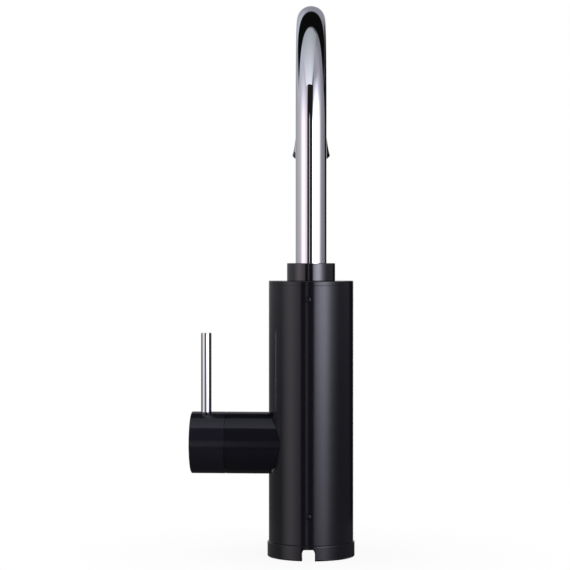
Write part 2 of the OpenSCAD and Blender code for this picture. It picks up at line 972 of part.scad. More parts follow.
module fixed_disc() {
    color(ceramic) difference() {
        on_barrel() disc(fixed_x, fixed_x + disc_t, disc_r);
        ports(fixed_x - lap, fixed_x + disc_t + lap, port_r_mid, port_r_side);
    }
}

module lugs(size, x0, x1) {
    for (side = [-1, 1]) translate([x0, side * lug_y - size / 2, barrel_z - size / 2])
        cube([x1 - x0, size, size]);
}

module moving_disc() {
    channel = port_r_side * 2;
    bottom = moving_x + pocket_depth;
    color(ceramic) difference() {
        on_barrel() disc(moving_x, moving_x + disc_t, disc_r - slack);
        on_barrel() disc(moving_x - lap, bottom, port_r_mid);
        translate([moving_x - lap, -channel / 2, barrel_z]) cube([pocket_depth + lap, channel, port_offset]);
        translate([0, 0, port_offset]) on_barrel() disc(moving_x - lap, bottom, port_r_side + fit);
        lugs(lug + 2 * slack, moving_x + disc_t - lug_h - slack, moving_x + disc_t + lap);
    }
}

module cartridge_stem() {
    color(brass) difference() {
        union() {
            on_barrel() {
                disc(stem_x, stem_x + stem_flange_t, stem_flange_r);
                disc(stem_x + lap, stem_end, stem_r);
            }
            lugs(lug, stem_x - fit - lug_h, stem_x + lap);
        }
        on_barrel() groove(stem_seal_x, stem_r - seal_depth, stem_r);
        translate([grub_x - flat_len, -stem_r - lap, barrel_z - stem_r - lap])
            cube([stem_end + flat_len + lap - grub_x, stem_d + 2 * lap, flat_depth + lap]);
    }
}

module stem_seal() {
    color(rubber) on_barrel() o_ring(stem_seal_x, stem_r - seal_depth, stem_r + fit);
}

module cartridge_nut() {
    color(brass) on_barrel() difference() {
        ring(neck_x, neck_x + cartridge_nut_t, cup_bore - fit, neck_r + slack);
        for (a = [0:90:270]) rotate([0, 0, a])
            translate([cup_bore - nut_slot_len, -nut_slot_w / 2, neck_x + cartridge_nut_t - nut_slot_depth])
                cube([nut_slot_len + lap, nut_slot_w, nut_slot_depth + lap]);
    }
}

// Handle

module barrel_cover() {
    color(black) difference() {
        on_barrel() disc(0, cover_end, barrel_r);
        on_barrel() disc(-lap, cover_end - cover_end_wall, cover_in);
        on_barrel() disc(shell_r, cover_end + lap, stem_hole);
        disc(barrel_z - barrel_r - lap, barrel_z + barrel_r + lap, shell_r + fit);
    }
}

module knob() {
    inner = barrel_r - knob_wall;
    end_in = knob_end - knob_end_wall;
    color(black) difference() {
        union() {
            difference() {
                on_barrel() rotate_extrude($fn = round_fn) polygon([
                    [0, knob_x],
                    [barrel_r - seam_edge, knob_x],
                    [barrel_r, knob_x + seam_edge],
                    for (a = [0:15:90])
                        [barrel_r - knob_edge + knob_edge * cos(a), knob_end - knob_edge + knob_edge * sin(a)],
                    [0, knob_end]
                ]);
                on_barrel() disc(knob_x - lap, end_in, inner);
            }
            on_barrel() disc(knob_x, end_in + lap, hub_r);
            translate([rod_x, 0, 0]) disc(barrel_z, barrel_z + inner + lap, rod_r + boss_wall);
            translate([grub_x, 0, 0]) disc(barrel_z - inner - lap, barrel_z, grub_r + boss_wall);
        }
        on_barrel() disc(knob_x - lap, stem_end + stem_gap, stem_r + fit);
        translate([rod_x, 0, 0]) {
            disc(rod_seat, barrel_z + barrel_r + lap, rod_r + fit);
            disc(rod_seat - rod_thread_len - slack, rod_seat + lap, rod_thread_r + fit);
        }
        translate([grub_x, 0, 0]) disc(barrel_z - barrel_r - lap, barrel_z, grub_r + fit);
    }
}

module lever_rod() {
    color(steel) translate([rod_x, 0, 0]) union() {
        rotate_extrude($fn = round_fn) polygon([
            [0, rod_seat],
            [rod_r, rod_seat],
            [rod_r, rod_top - rod_edge],
            [rod_r - rod_edge, rod_top],
            [0, rod_top]
        ]);
        disc(rod_seat - rod_thread_len, rod_seat + lap, rod_thread_r);
    }
}

module knob_grub_screw() {
    tip = barrel_z - stem_r + flat_depth - fit;
    color(dark_grey) translate([grub_x, 0, 0]) difference() {
        disc(tip - grub_len, tip, grub_r);
        hex(tip - grub_len - lap, tip - grub_len + grub_hex_depth, grub_hex_r);
    }
}

// Flow switch

module at_switch() {
    translate([-switch_x, 0, 0]) children();
}

module ears(z0, z1) {
    for (side = [-1, 1]) translate([0, side * ear_y, 0]) disc(z0, z1, ear_r);
    translate([-ear_r, -ear_y, z0]) cube([2 * ear_r, 2 * ear_y, z1 - z0]);
}

module diaphragm() {
    color(rubber) at_switch() disc(switch_top, arm_z, switch_r - 0.3);
}

module switch_plunger() {
    color(white) at_switch() union() {
        disc(spring_top, switch_top, head_r);
        disc(plunger_tip, spring_top + lap, plunger_r);
    }
}

module plunger_spring() {
    low = spring_low + spring_wire / 2;
    high = spring_top - spring_wire / 2;
    color(steel) at_switch() tube(helix(spring_r, low, high, 0, spring_turns, 16), spring_wire / 2, 6);
}

module switch_housing() {
    color(dark_grey) at_switch() difference() {
        union() {
            disc(switch_low, switch_top, switch_r);
            ears(switch_top - ear_t, switch_top);
            translate([bracket_x, -bracket_w / 2, micro_low])
                cube([bracket_t, bracket_w, switch_low + lap - micro_low]);
        }
        disc(spring_low, switch_top + lap, chamber_r);
        disc(switch_low - lap, spring_low + lap, plunger_r + fit);
        for (side = [-1, 1]) {
            translate([0, side * ear_y, 0])
                disc(switch_top - ear_t - lap, switch_top + lap, small_screw_r + slack);
            translate([bracket_x - lap, side * micro_hole_y, micro_hole_z]) rotate([0, 90, 0])
                cylinder(h = bracket_t + 2 * lap, r = micro_screw_r + fit, $fn = small_fn);
        }
    }
}

module switch_housing_screws() {
    low = switch_top - ear_t;
    color(steel) at_switch() for (side = [-1, 1]) translate([0, side * ear_y, 0]) difference() {
        union() {
            disc(low - small_head_t, low, small_head_r);
            disc(low - lap, arm_z + small_screw_len, small_screw_r);
        }
        slot(low - small_head_t - lap, small_head_r);
    }
}

module microswitch() {
    color("#2b2b30") at_switch() difference() {
        union() {
            translate([-micro_w / 2, -micro_len / 2, micro_low]) cube([micro_w, micro_len, micro_h]);
            for (y = [-tab_y, 0, tab_y]) translate([-tab_w / 2, y - tab_t / 2, tab_low])
                cube([tab_w, tab_t, tab_len + lap]);
        }
        for (side = [-1, 1]) translate([-micro_w, side * micro_hole_y, micro_hole_z]) rotate([0, 90, 0])
            cylinder(h = 2 * micro_w, r = micro_screw_r + fit, $fn = small_fn);
        disc(micro_top - button_depth, micro_top + lap, button_r + fit);
    }
}

module microswitch_button() {
    low = micro_top - button_depth + plunger_travel + slack;
    color("#b03a2e") at_switch() disc(low, plunger_tip, button_r);
}

module microswitch_screws() {
    face = micro_w / 2;
    color(steel) at_switch() for (side = [-1, 1]) translate([0, side * micro_hole_y, micro_hole_z])
        rotate([0, 90, 0]) difference() {
            union() {
                disc(bracket_x, face + micro_head_t, micro_screw_r);
                disc(face, face + micro_head_t, micro_head_r);
            }
            slot(face + micro_head_t / 2, micro_head_r);
        }
}

// Heater

module element_places() {
    for (side = [-1, 1]) translate(at_angle(element_r, side * element_end, 0)) children();
}

module tank_screw_places() {
    for (a = [45:90:315]) rotate([0, 0, a]) translate([tank_screw_pcr, 0, 0]) children();
}

module tank_body() {
    rail_x = cutout_w / 2 + slack;
    color(dark_grey) difference() {
        union() {
            disc(tank_low, lid_seat, tank_r);
            disc(lid_seat - tank_rim_t, lid_seat, tank_rim_r);
            disc(tank_low - spigot_len, tank_low + lap, spigot_r);
            translate([0, tank_in, cutout_low - ledge_t]) {
                for (x = [-rail_x - rail_t, rail_x]) translate([x, 0, 0])
                    cube([rail_t, cutout_r + cutout_t - tank_in, cutout_h + ledge_t]);
                translate([-ledge_t / 2, 0, 0]) cube([ledge_t, cutout_y - tank_in, ledge_t]);
            }
        }
        disc(tank_floor, lid_seat + lap, tank_in);
        disc(tank_low - spigot_len - lap, tank_floor + lap, spigot_bore);
        groove(tank_low - spigot_len / 2, spigot_r - seal_depth, spigot_r);
        element_places() disc(tank_low - lap, tank_floor + lap, element_d / 2 + slack);
        tank_screw_places() disc(lid_seat - tank_rim_t - lap, lid_seat + lap, tank_screw_r + fit);
    }
}

module tank_inlet_seal() {
    color(rubber) o_ring(tank_low - spigot_len / 2, spigot_r - seal_depth, gallery_r);
}

module tank_lid() {
    color(dark_grey) difference() {
        union() {
            disc(lid_seat - lid_plug, lid_seat + lap, tank_in - fit);
            disc(lid_seat, lid_top, tank_rim_r);
            disc(lid_top - lap, neck_top, lid_neck_r);
        }
        groove(lid_seat - lid_plug / 2, tank_in - fit - seal_depth, tank_in - fit);
        disc(lid_seat - lid_plug - lap, socket_z + lap, spout_spigot_r);
        disc(socket_z, neck_top + lap, socket_r);
        tank_screw_places() disc(lid_seat - lap, lid_top + lap, tank_screw_r + slack);
    }
}

module tank_seal() {
    color(rubber) o_ring(lid_seat - lid_plug / 2, tank_in - fit - seal_depth, tank_in);
}

module tank_screws() {
    color(steel) tank_screw_places() difference() {
        union() {
            disc(lid_top, lid_top + tank_head_t, tank_screw_head);
            disc(lid_seat - tank_rim_t, lid_top + lap, tank_screw_r);
        }
        slot(lid_top + tank_head_t - slot_depth, tank_screw_head);
    }
}

function element_path() = concat(
    [at_angle(element_r, element_end, element_low), at_angle(element_r, element_end, coil_low - 4)],
    helix(element_r, coil_low, coil_high, element_end, element_turns, 12),
    [
        at_angle(element_r, element_end + 20, coil_high + 1),
        at_angle(element_r * 0.6, element_end + 50, coil_high + 2),
        at_angle(return_r, element_end + 90, coil_high - 2),
        at_angle(return_r, element_end + 90, return_z + 6),
        at_angle(return_r + 1, -element_end, return_z),
        at_angle(element_r - 1, -element_end, return_z),
        at_angle(element_r, -element_end, return_z - 4),
        at_angle(element_r, -element_end, element_low)
    ]
);

module heating_element() {
    color(steel) {
        tube(cut_corners(element_path(), 1), element_d / 2);
        element_places() disc(element_low - pin_len, element_low, pin_r);
    }
}

module element_seals() {
    color(rubber) element_places()
        ring(tank_floor, tank_floor + element_seal_t, element_seal_r, element_d / 2 + fit);
}

module element_nuts() {
    color(brass) element_places() difference() {
        hex(tank_low - element_nut_t, tank_low, element_nut_r);
        disc(tank_low - element_nut_t - lap, tank_low + lap, element_d / 2 + fit);
    }
}

module thermal_cutout() {
    color(white) {
        translate([-cutout_w / 2, cutout_r, cutout_low]) cube([cutout_w, cutout_t, cutout_h]);
        for (side = [-1, 1]) translate([
            side * cutout_lead_x - cutout_lead_w / 2,
            cutout_y - cutout_lead_t / 2,
            cutout_lead_low
        ]) cube([cutout_lead_w, cutout_lead_t, cutout_low + lap - cutout_lead_low]);
    }
}

// Spout

module spout_plane() {
    rotate([0, 0, spout_turn - 90]) children();
}

module bend() {
    translate([bend_r, 0, bend_z]) rotate([90, 0, 0]) rotate([0, 0, bend_end])
        rotate_extrude(angle = bend_angle, $fn = round_fn) translate([bend_r, 0]) difference() {
            circle(r = pipe_r - weld_step, $fn = round_fn);
            circle(r = pipe_in + weld_step, $fn = round_fn);
        }
}

module at_leg() {
    spout_plane() translate([bend_r + bend_r * cos(bend_end), 0, bend_z + bend_r * sin(bend_end)])
        rotate([0, 180 - bend_end, 0]) children();
}

function flare_r(s) = pipe_r + flare_arc - sqrt(flare_arc * flare_arc - s * s);

function spout_seal_z() = [socket_z + 6, socket_z + 14];

module leg() {
    steps = 10;
    rotate_extrude($fn = round_fn) polygon([
        [0, -weld_lap],
        [pipe_r, -weld_lap],
        for (i = [0:steps]) let (s = (flare_len - ring_h) * i / steps) [flare_r(s), flare_z + s],
        [0, ring_z]
    ]);
}

module spout_tube() {
    color(chrome) union() {
        difference() {
            disc(spout_low, bend_z + weld_lap, pipe_r);
            disc(spout_low - lap, thick_top + lap, spout_spigot_r);
            disc(thick_top, bend_z + lap, pipe_in);
            for (z = spout_seal_z()) groove(z, pipe_r - seal_depth, pipe_r);
            ring(clip_z, clip_z + clip_t, pipe_r + lap, pipe_r - clip_depth);
        }
        spout_plane() bend();
        at_leg() difference() {
            leg();
            disc(-lap, ring_z, pipe_in);
            disc(seat_z, ring_z + lap, counter_r);
        }
    }
}

module spout_seals() {
    color(rubber) for (z = spout_seal_z()) o_ring(z, pipe_r - seal_depth, pipe_r + fit);
}

module slip_washer() {
    color(white) ring(neck_top, neck_top + slip_t, lid_neck_r, pipe_r + slack);
}

module retaining_ring() {
    color(steel) difference() {
        ring(clip_z + fit, clip_z + clip_t - fit, pipe_r + clip_out, pipe_r - clip_depth + fit);
        translate([0, -clip_gap / 2, clip_z - lap]) cube([pipe_d, clip_gap, clip_t + 2 * lap]);
    }
}

// Outlet

module aerator_housing() {
    spigot_top = seat_z + washer_t;
    color(black) at_leg() difference() {
        union() {
            disc(spigot_top, ring_z + lap, counter_r - fit);
            rotate_extrude($fn = round_fn) polygon([
                [0, ring_z + fit],
                [flare_r(flare_len - ring_h), ring_z + fit],
                [flare_r(flare_len - ring_h / 2), leg_len - ring_h / 2],
                [mouth_r, leg_len - ring_bevel],
                [mouth_r - ring_bevel, leg_len],
                [0, leg_len]
            ]);
        }
        disc(spigot_top - lap, leg_len - ring_lip, aerator_r);
        disc(leg_len - ring_lip - lap, leg_len + lap, lip_r);
    }
}

module aerator_washer() {
    color(rubber) at_leg() ring(seat_z, seat_z + washer_t, counter_r - slack, lip_r);
}

module aerator_holes(z0, z1, pitch, r) {
    rows = floor((aerator_r - pitch / 2) / pitch);
    for (i = [-rows:rows]) for (j = [-rows:rows]) {
        p = [pitch * (i + j / 2), pitch * j * sin(60)];
        if (norm(p) < aerator_r - pitch / 2 - r / 2) translate([p.x, p.y, 0]) disc(z0 - lap, z1 + lap, r);
    }
}

module aerator_insert() {
    high = leg_len - ring_lip - fit;
    color(nylon) at_leg() difference() {
        disc(insert_low, high, aerator_r - fit);
        aerator_holes(insert_low, high, insert_pitch, insert_hole_r);
    }
}

module aerator_screen() {
    high = insert_low - fit;
    low = high - mesh_t;
    color(steel) at_leg() difference() {
        disc(low, high, aerator_r - fit);
        aerator_holes(low, high, mesh_pitch, mesh_hole_r);
    }
}

base_flange();
base_gasket();
inlet_fitting();
inlet_nut();
inlet_screen();
inlet_tube();
inlet_tube_seals();
cable_gland();
terminal_block();
terminal_screws();
earth_tag();
wire_live();
wire_neutral();
wire_earth();
wire_link();
wire_heater();
body_shell();
shell_screws();
top_cap();
collar_nut();
valve_block();
port_gasket();
cartridge_housing();
valve_screws();
cartridge_body();
disc_seal();
fixed_disc();
moving_disc();
cartridge_stem();
stem_seal();
cartridge_nut();
barrel_cover();
knob();
lever_rod();
knob_grub_screw();
diaphragm();
switch_plunger();
plunger_spring();
switch_housing();
switch_housing_screws();
microswitch();
microswitch_button();
microswitch_screws();
tank_body();
tank_inlet_seal();
tank_lid();
tank_seal();
tank_screws();
heating_element();
element_seals();
element_nuts();
thermal_cutout();
spout_tube();
spout_seals();
slip_washer();
retaining_ring();
aerator_housing();
aerator_washer();
aerator_screen();
aerator_insert();
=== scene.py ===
"""Electric instant water heater tap: its looks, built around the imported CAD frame.

Metres throughout. The spout reaches forward along -Y, the handle stands out along +X, +Z is up.
The photograph looks at the back, from +Y.
"""

import math

import bmesh
import bpy
from mathutils import Matrix, Vector


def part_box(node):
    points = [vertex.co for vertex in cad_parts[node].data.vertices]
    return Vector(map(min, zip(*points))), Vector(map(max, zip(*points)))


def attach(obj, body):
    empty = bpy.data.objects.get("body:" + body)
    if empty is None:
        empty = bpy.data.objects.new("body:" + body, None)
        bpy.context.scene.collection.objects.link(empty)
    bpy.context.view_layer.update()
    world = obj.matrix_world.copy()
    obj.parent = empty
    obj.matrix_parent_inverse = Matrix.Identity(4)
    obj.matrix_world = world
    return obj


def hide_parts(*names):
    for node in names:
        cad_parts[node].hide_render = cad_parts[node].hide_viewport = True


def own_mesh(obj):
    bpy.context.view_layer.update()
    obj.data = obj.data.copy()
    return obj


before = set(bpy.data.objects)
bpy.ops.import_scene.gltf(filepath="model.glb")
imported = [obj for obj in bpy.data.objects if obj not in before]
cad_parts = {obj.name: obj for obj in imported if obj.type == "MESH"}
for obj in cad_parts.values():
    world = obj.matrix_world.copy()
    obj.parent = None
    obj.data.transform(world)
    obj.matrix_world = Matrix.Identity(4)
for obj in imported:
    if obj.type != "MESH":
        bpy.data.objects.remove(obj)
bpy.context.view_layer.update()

# Camera
# A long lens looks at the back of the tap from one and a half metres, a little to the side of the
# spout's own plane. Its height is just above the collar, so the base's foot shows as a shallow curve.
camera_place = Vector((-0.0910, 1.5233, 0.2180))
camera_aim = Vector((0.01656, 0.0273, 0.1925))
lens_mm = 136.0
film_mm = 36

lens = bpy.data.cameras.new("camera")
lens.lens = lens_mm
lens.sensor_width = film_mm
camera = bpy.data.objects.new("camera", lens)
camera.location = camera_place
camera.rotation_euler = (camera_aim - camera_place).to_track_quat("-Z", "Y").to_euler()
bpy.context.scene.collection.objects.link(camera)
bpy.context.scene.camera = camera
bpy.context.scene.view_settings.view_transform = "Standard"


# Studio
# White paper all round for the camera, and for chrome that mirrors what is straight behind the tap.
# Everything else is lit and mirrored by softboxes round and over the tap, grey walls and black gaps.
# Angles are degrees round the tap, 0 towards the camera and growing to the picture's right.
def linear(code):
    """The linear colour of an sRGB hex code, with an alpha of 1."""
    parts = [int(code[i:i + 2], 16) / 255 for i in (1, 3, 5)]
    return [c / 12.92 if c <= 0.04045 else ((c + 0.055) / 1.055) ** 2.4 for c in parts] + [1]


def add(tree, kind, settings=(), sockets=()):
    """Adds a node: settings are its properties, sockets its inputs as values or as outputs to link."""
    node = tree.nodes.new(kind)
    for name, value in dict(settings).items():
        setattr(node, name, value)
    for name, value in dict(sockets).items():
        if isinstance(value, bpy.types.NodeSocket):
            tree.links.new(value, node.inputs[name])
        else:
            node.inputs[name].default_value = value
    return node


def levels(tree, value, span, stops):
    """Grey levels along a value: stops are (value, level), inside a span of (lowest, highest)."""
    low, high = span
    scaled = add(tree, "ShaderNodeMapRange", sockets={
        "Value": value, "From Min": low, "From Max": high
    })
    scale = add(tree, "ShaderNodeValToRGB", sockets={"Fac": scaled.outputs["Result"]})
    points = scale.color_ramp.elements
    points.remove(points[1])
    for number, (at, level) in enumerate(stops):
        place = (at - low) / (high - low)
        point = points.new(place) if number else points[0]
        point.position = place
        point.color = (level, level, level, 1)
    return scale.outputs["Color"]


def seen_white(tree, mirrored):
    """How much of a ray meets white: all of a camera or transmission ray, a part of a mirrored one."""
    rays = add(tree, "ShaderNodeLightPath")
    direct = add(tree, "ShaderNodeMath", {"operation": "MAXIMUM"}, {
        0: rays.outputs["Is Camera Ray"], 1: rays.outputs["Is Transmission Ray"]
    })
    reflected = add(tree, "ShaderNodeMath", {"operation": "MULTIPLY"}, {
        0: rays.outputs["Is Glossy Ray"], 1: mirrored
    })
    return add(tree, "ShaderNodeMath", {"operation": "MAXIMUM"}, {
        0: direct.outputs[0], 1: reflected.outputs[0]
    }).outputs[0]


def object_of(name, shape):
    """Makes an object of a shape, and links it."""
    mesh = bpy.data.meshes.new(name)
    shape.to_mesh(mesh)
    shape.free()
    made = bpy.data.objects.new(name, mesh)
    bpy.context.scene.collection.objects.link(made)
    return made


camera_turn = math.atan2(-camera_place.x, camera_place.y)
world = bpy.data.worlds.new("studio")
world.use_nodes = True
bpy.context.scene.world = world
sky = world.node_tree
sky.nodes.clear()
towards = add(sky, "ShaderNodeTexCoord").outputs["Generated"]
facing = add(sky, "ShaderNodeVectorRotate", {"rotation_type": "Z_AXIS"}, {
    "Vector": towards, "Angle": -camera_turn
})
parts = add(sky, "ShaderNodeSeparateXYZ", sockets={0: facing.outputs[0]})
to_right = add(sky, "ShaderNodeMath", {"operation": "MULTIPLY"}, {0: parts.outputs["X"], 1: -1})
turn = add(sky, "ShaderNodeMath", {"operation": "ARCTAN2"}, {
    0: to_right.outputs[0], 1: parts.outputs["Y"]
})
azimuth = add(sky, "ShaderNodeMath", {"operation": "DEGREES"}, {0: turn.outputs[0]}).outputs[0]
lift = add(sky, "ShaderNodeMath", {"operation": "ARCSINE"}, {0: parts.outputs["Z"]})
elevation = add(sky, "ShaderNodeMath", {"operation": "DEGREES"}, {0: lift.outputs[0]}).outputs[0]
apart = add(sky, "ShaderNodeMath", {"operation": "ARCCOSINE"}, {0: parts.outputs["Y"]})
from_camera = add(sky, "ShaderNodeMath", {"operation": "DEGREES"}, {0: apart.outputs[0]}).outputs[0]
full_turn = (-180, 180)
full_height = (-90, 90)
half_turn = (0, 180)

# The softbox at the camera's right and the low gap lean: their edges shift by this much a degree up.
key_lean = -0.28
key_span = (-220, 220)
key_turn = add(sky, "ShaderNodeMath", {"operation": "MULTIPLY_ADD"}, {
    0: elevation, 1: key_lean, 2: azimuth
}).outputs[0]
gap_lean = 1.1
gap_span = (-200, 280)
gap_turn = add(sky, "ShaderNodeMath", {"operation": "MULTIPLY_ADD"}, {
    0: elevation, 1: gap_lean, 2: azimuth
}).outputs[0]


def patch(across, span, sides, heights):
    """How strongly a patch of the studio shows in a direction: its levels across times those upwards."""
    return add(sky, "ShaderNodeMath", {"operation": "MULTIPLY"}, {
        0: levels(sky, across, span, sides), 1: levels(sky, elevation, full_height, heights)
    }).outputs[0]


# The grey walls, by the angle round the tap. They fade towards the table. Higher up they are a
# little bluer, with a pale sheet of paper at the far left.
walls = patch(azimuth, full_turn, [
    (-180, 0.3), (-150, 0.36), (-134, 0.42), (-105, 0.52), (-88, 0.56), (-60, 0.4), (-31, 0.35),
    (-28, 0.03), (5, 0.03), (7, 0.35), (60, 0.4), (79, 0.38), (88, 0.3), (111, 0.24), (130, 0.13),
    (160, 0.3), (180, 0.3)
], [(-30, 0.03), (-13, 0.1), (-10, 0.35), (-3, 0.42), (-0.5, 0.9), (2, 1)])
above = [(8, 0), (16, 1)]
pale_paper = (0.54, 0.6, 0.6, 1)
sheet = patch(azimuth, full_turn, [(-172, 0), (-150, 1), (-104, 1), (-96, 0)], above)
papered = add(sky, "ShaderNodeMix", {"data_type": "RGBA"}, {
    "Factor": sheet, 6: walls, 7: pale_paper
})
bluer = add(sky, "ShaderNodeMix", {"data_type": "RGBA"}, {
    "Factor": levels(sky, elevation, full_height, above), 6: (1, 1, 1, 1), 7: (1, 1, 1.1, 1)
})
room = add(sky, "ShaderNodeVectorMath", {"operation": "MULTIPLY"}, {
    0: papered.outputs[2], 1: bluer.outputs[2]
}).outputs[0]

# Black gaps before the backdrop: a leaning one low at the right, an upright one in the same corner,
# and a round one that goes over the top from side to side.
low_gap = patch(gap_turn, gap_span, [(126, 0), (130, 1), (158, 1), (162, 0)], [(13, 1), (21, 0)])
high_gap = patch(from_camera, half_turn, [(104.5, 0), (107, 1), (138, 1), (141, 0)], [(13, 0), (21, 1)])
corner_gap = patch(azimuth, full_turn, [(128, 0), (132, 1), (157, 1), (161, 0)], [
    (0, 0), (3, 1), (16, 1), (20, 0)
])
gaps = add(sky, "ShaderNodeMath", {"operation": "MAXIMUM"}, {0: low_gap, 1: high_gap})
gaps = add(sky, "ShaderNodeMath", {"operation": "MAXIMUM"}, {0: gaps.outputs[0], 1: corner_gap})

# A black card beside the camera, up to the edge of the right-hand softbox, with a slit of grey wall.
card = add(sky, "ShaderNodeMath", {"operation": "MULTIPLY"}, {
    0: levels(sky, azimuth, full_turn, [(-30, 0), (-27, 1)]),
    1: levels(sky, key_turn, key_span, [(6.5, 1), (8.5, 0)])
})
slit = patch(azimuth, full_turn, [(-14.5, 0), (-13.5, 1), (-10, 1), (-9, 0)], [
    (-13, 0), (-11, 1), (6, 1), (12, 0)
])
gap_black = (0.004, 0.004, 0.004, 1)
card_black = (0.013, 0.013, 0.013, 1)
slit_grey = (0.65, 0.63, 0.63, 1)
for where, colour in ((gaps.outputs[0], gap_black), (card.outputs[0], card_black), (slit, slit_grey)):
    room = add(sky, "ShaderNodeMix", {"data_type": "RGBA"}, {
        "Factor": where, 6: room, 7: colour
    }).outputs[2]


def softbox(light, shown, strength, tint):
    """Adds a softbox to the light of the studio where its patch shows, at a strength and in a tint."""
    return add(sky, "ShaderNodeVectorMath", {"operation": "MULTIPLY_ADD"}, {
        0: shown, 1: [strength * part for part in tint], 2: light
    }).outputs[0]


# The tall strong softbox at the camera's right, brightest near the horizon, with a weak tail below
# it that the foot mirrors.
room = softbox(room, patch(key_turn, key_span, [
    (8, 0), (10, 0.3), (13, 0.5), (20, 0.75), (28, 0.95), (37, 1), (45, 0.78), (53, 0.42),
    (59, 0.23), (65, 0.12), (72, 0.05), (80, 0)
], [
    (-13, 0), (-8.6, 0.18), (-7.5, 0.18), (-6.8, 0.35), (-5.4, 0.27), (-4, 0.45), (-2.7, 0.78),
    (-1.2, 1), (2, 0.95), (8, 0.7), (12, 0.56), (24, 0.2), (42, 0)
]), strength=5.6, tint=(0.98, 0.99, 1.12))

# The narrow weak one at the camera's left.
room = softbox(room, patch(azimuth, full_turn, [
    (-88, 0), (-76, 0.48), (-64, 0.92), (-55, 1), (-46, 0.78), (-38, 0.52), (-29.5, 0.46), (-27, 0)
], [
    (-14, 0), (-10, 1), (2, 1), (12, 0.8), (28, 0.4), (48, 0)
]), strength=1.0, tint=(1.06, 0.95, 0.99))

# Four low ones round the tap, below what the photograph's view mirrors. They shape the black gloss
# in views from above and from the front.
room = softbox(room, patch(azimuth, full_turn, [
    (-130, 0), (-125, 0.6), (-114, 0.6), (-106, 0), (-85, 0), (-75, 0.5), (-45, 0.5), (-35, 0),
    (28, 0), (38, 0.8), (62, 0.8), (75, 0), (102, 0), (114, 0.6), (140, 0.6), (155, 0)
], [
    (-42, 0), (-34, 1), (-22, 1), (-15, 0)
]), strength=3.0, tint=(1, 1, 1))

# The whole room is a little cool. What is straight behind the tap is white in the chrome too.
cool = add(sky, "ShaderNodeVectorMath", {"operation": "MULTIPLY"}, {0: room, 1: (1, 0.99, 1.05)})
studio = add(sky, "ShaderNodeBackground", sockets={"Color": cool.outputs[0]})
backdrop = add(sky, "ShaderNodeBackground", sockets={"Color": (1, 1, 1, 1)})
behind = levels(sky, from_camera, half_turn, [(164, 0), (167, 1)])
seen = add(sky, "ShaderNodeMixShader", sockets={
    0: seen_white(sky, behind), 1: studio.outputs[0], 2: backdrop.outputs[0]
})
add(sky, "ShaderNodeOutputWorld", sockets={"Surface": seen.outputs[0]})

# The overhead softbox hangs close over the tap, where the top of the bend mirrors it.
panel_half = 0.15
panel_left = 0.06
panel_back = -0.069
panel_front = 0.31
panel_z = 0.573
silk_width = (-0.2, 0.3)
silk_length = (-0.2, 0.4)
panel_place = (
    Matrix.Rotation(-camera_turn, 4, "Z")
    @ Matrix.Translation((panel_left, (panel_front + panel_back) / 2, panel_z))
    @ Matrix.Diagonal((panel_half, (panel_front - panel_back) / 2, 1, 1))
)
shape = bmesh.new()
bmesh.ops.create_grid(shape, x_segments=1, y_segments=1, size=1, matrix=panel_place)
panel = object_of("overhead_softbox", shape)
panel.visible_camera = False

# Lit silk is an even, slightly blue white, brighter at the edge near the camera.
silk = bpy.data.materials.new("softbox_silk")
silk.use_nodes = True
tree = silk.node_tree
tree.nodes.clear()
place = add(tree, "ShaderNodeTexCoord").outputs["Object"]
parts = add(tree, "ShaderNodeSeparateXYZ", sockets={0: place})
bright = add(tree, "ShaderNodeMath", {"operation": "MULTIPLY"}, {
    0: levels(tree, parts.outputs["Y"], silk_length, [
        (panel_back, 0.44), (0, 0.52), (0.1, 0.67), (0.22, 0.85), (panel_front, 0.97)
    ]),
    1: levels(tree, parts.outputs["X"], silk_width, [(-0.1, 0.8), (0, 1), (0.2, 1)])
})
bluish = add(tree, "ShaderNodeVectorMath", {"operation": "MULTIPLY"}, {
    0: bright.outputs[0], 1: (0.97, 1.02, 1.12)
})
glow = add(tree, "ShaderNodeEmission", sockets={"Color": bluish.outputs[0]})
add(tree, "ShaderNodeOutputMaterial", sockets={"Surface": glow.outputs[0]})
panel.data.materials.append(silk)

# The round table. The camera sees white paper with a faint shadow of the tap, which fades out
# towards the rim. Scattered light meets dark acrylic, which keeps the black pieces black, and what
# mirrors the table sees the low softboxes through it, with a trace of white.
table_r = 0.22
table_drop = 0.0001
white_mirrored = 0.04
shape = bmesh.new()
bmesh.ops.create_circle(
    shape, cap_ends=True, segments=64, radius=table_r, matrix=Matrix.Translation((0, 0, -table_drop))
)
table = object_of("table", shape)

paper = bpy.data.materials.new("white_paper")
paper.use_nodes = True
tree = paper.node_tree
tree.nodes.clear()
place = add(tree, "ShaderNodeTexCoord").outputs["Object"]
distance = add(tree, "ShaderNodeVectorMath", {"operation": "LENGTH"}, {0: place}).outputs["Value"]
whiteness = levels(tree, distance, (0, table_r), [(0.03, 0.93), (0.1, 0.97), (0.2, 1)])
matt = add(tree, "ShaderNodeBsdfDiffuse", sockets={"Color": linear("#f2f2f2")})
glow = add(tree, "ShaderNodeEmission", sockets={"Color": (1, 1, 1, 1)})
white = add(tree, "ShaderNodeMixShader", sockets={
    0: whiteness, 1: matt.outputs[0], 2: glow.outputs[0]
})
acrylic = add(tree, "ShaderNodeBsdfPrincipled", sockets={
    "Base Color": linear("#3c3c3c"), "Roughness": 0.04, "IOR": 1.12
})
clear = add(tree, "ShaderNodeBsdfTransparent")
rays = add(tree, "ShaderNodeLightPath")
lower = add(tree, "ShaderNodeMixShader", sockets={
    0: rays.outputs["Is Glossy Ray"], 1: acrylic.outputs[0], 2: clear.outputs[0]
})
surface = add(tree, "ShaderNodeMixShader", sockets={
    0: seen_white(tree, white_mirrored), 1: lower.outputs[0], 2: white.outputs[0]
})
add(tree, "ShaderNodeOutputMaterial", sockets={"Surface": surface.outputs[0]})
table.data.materials.append(paper)


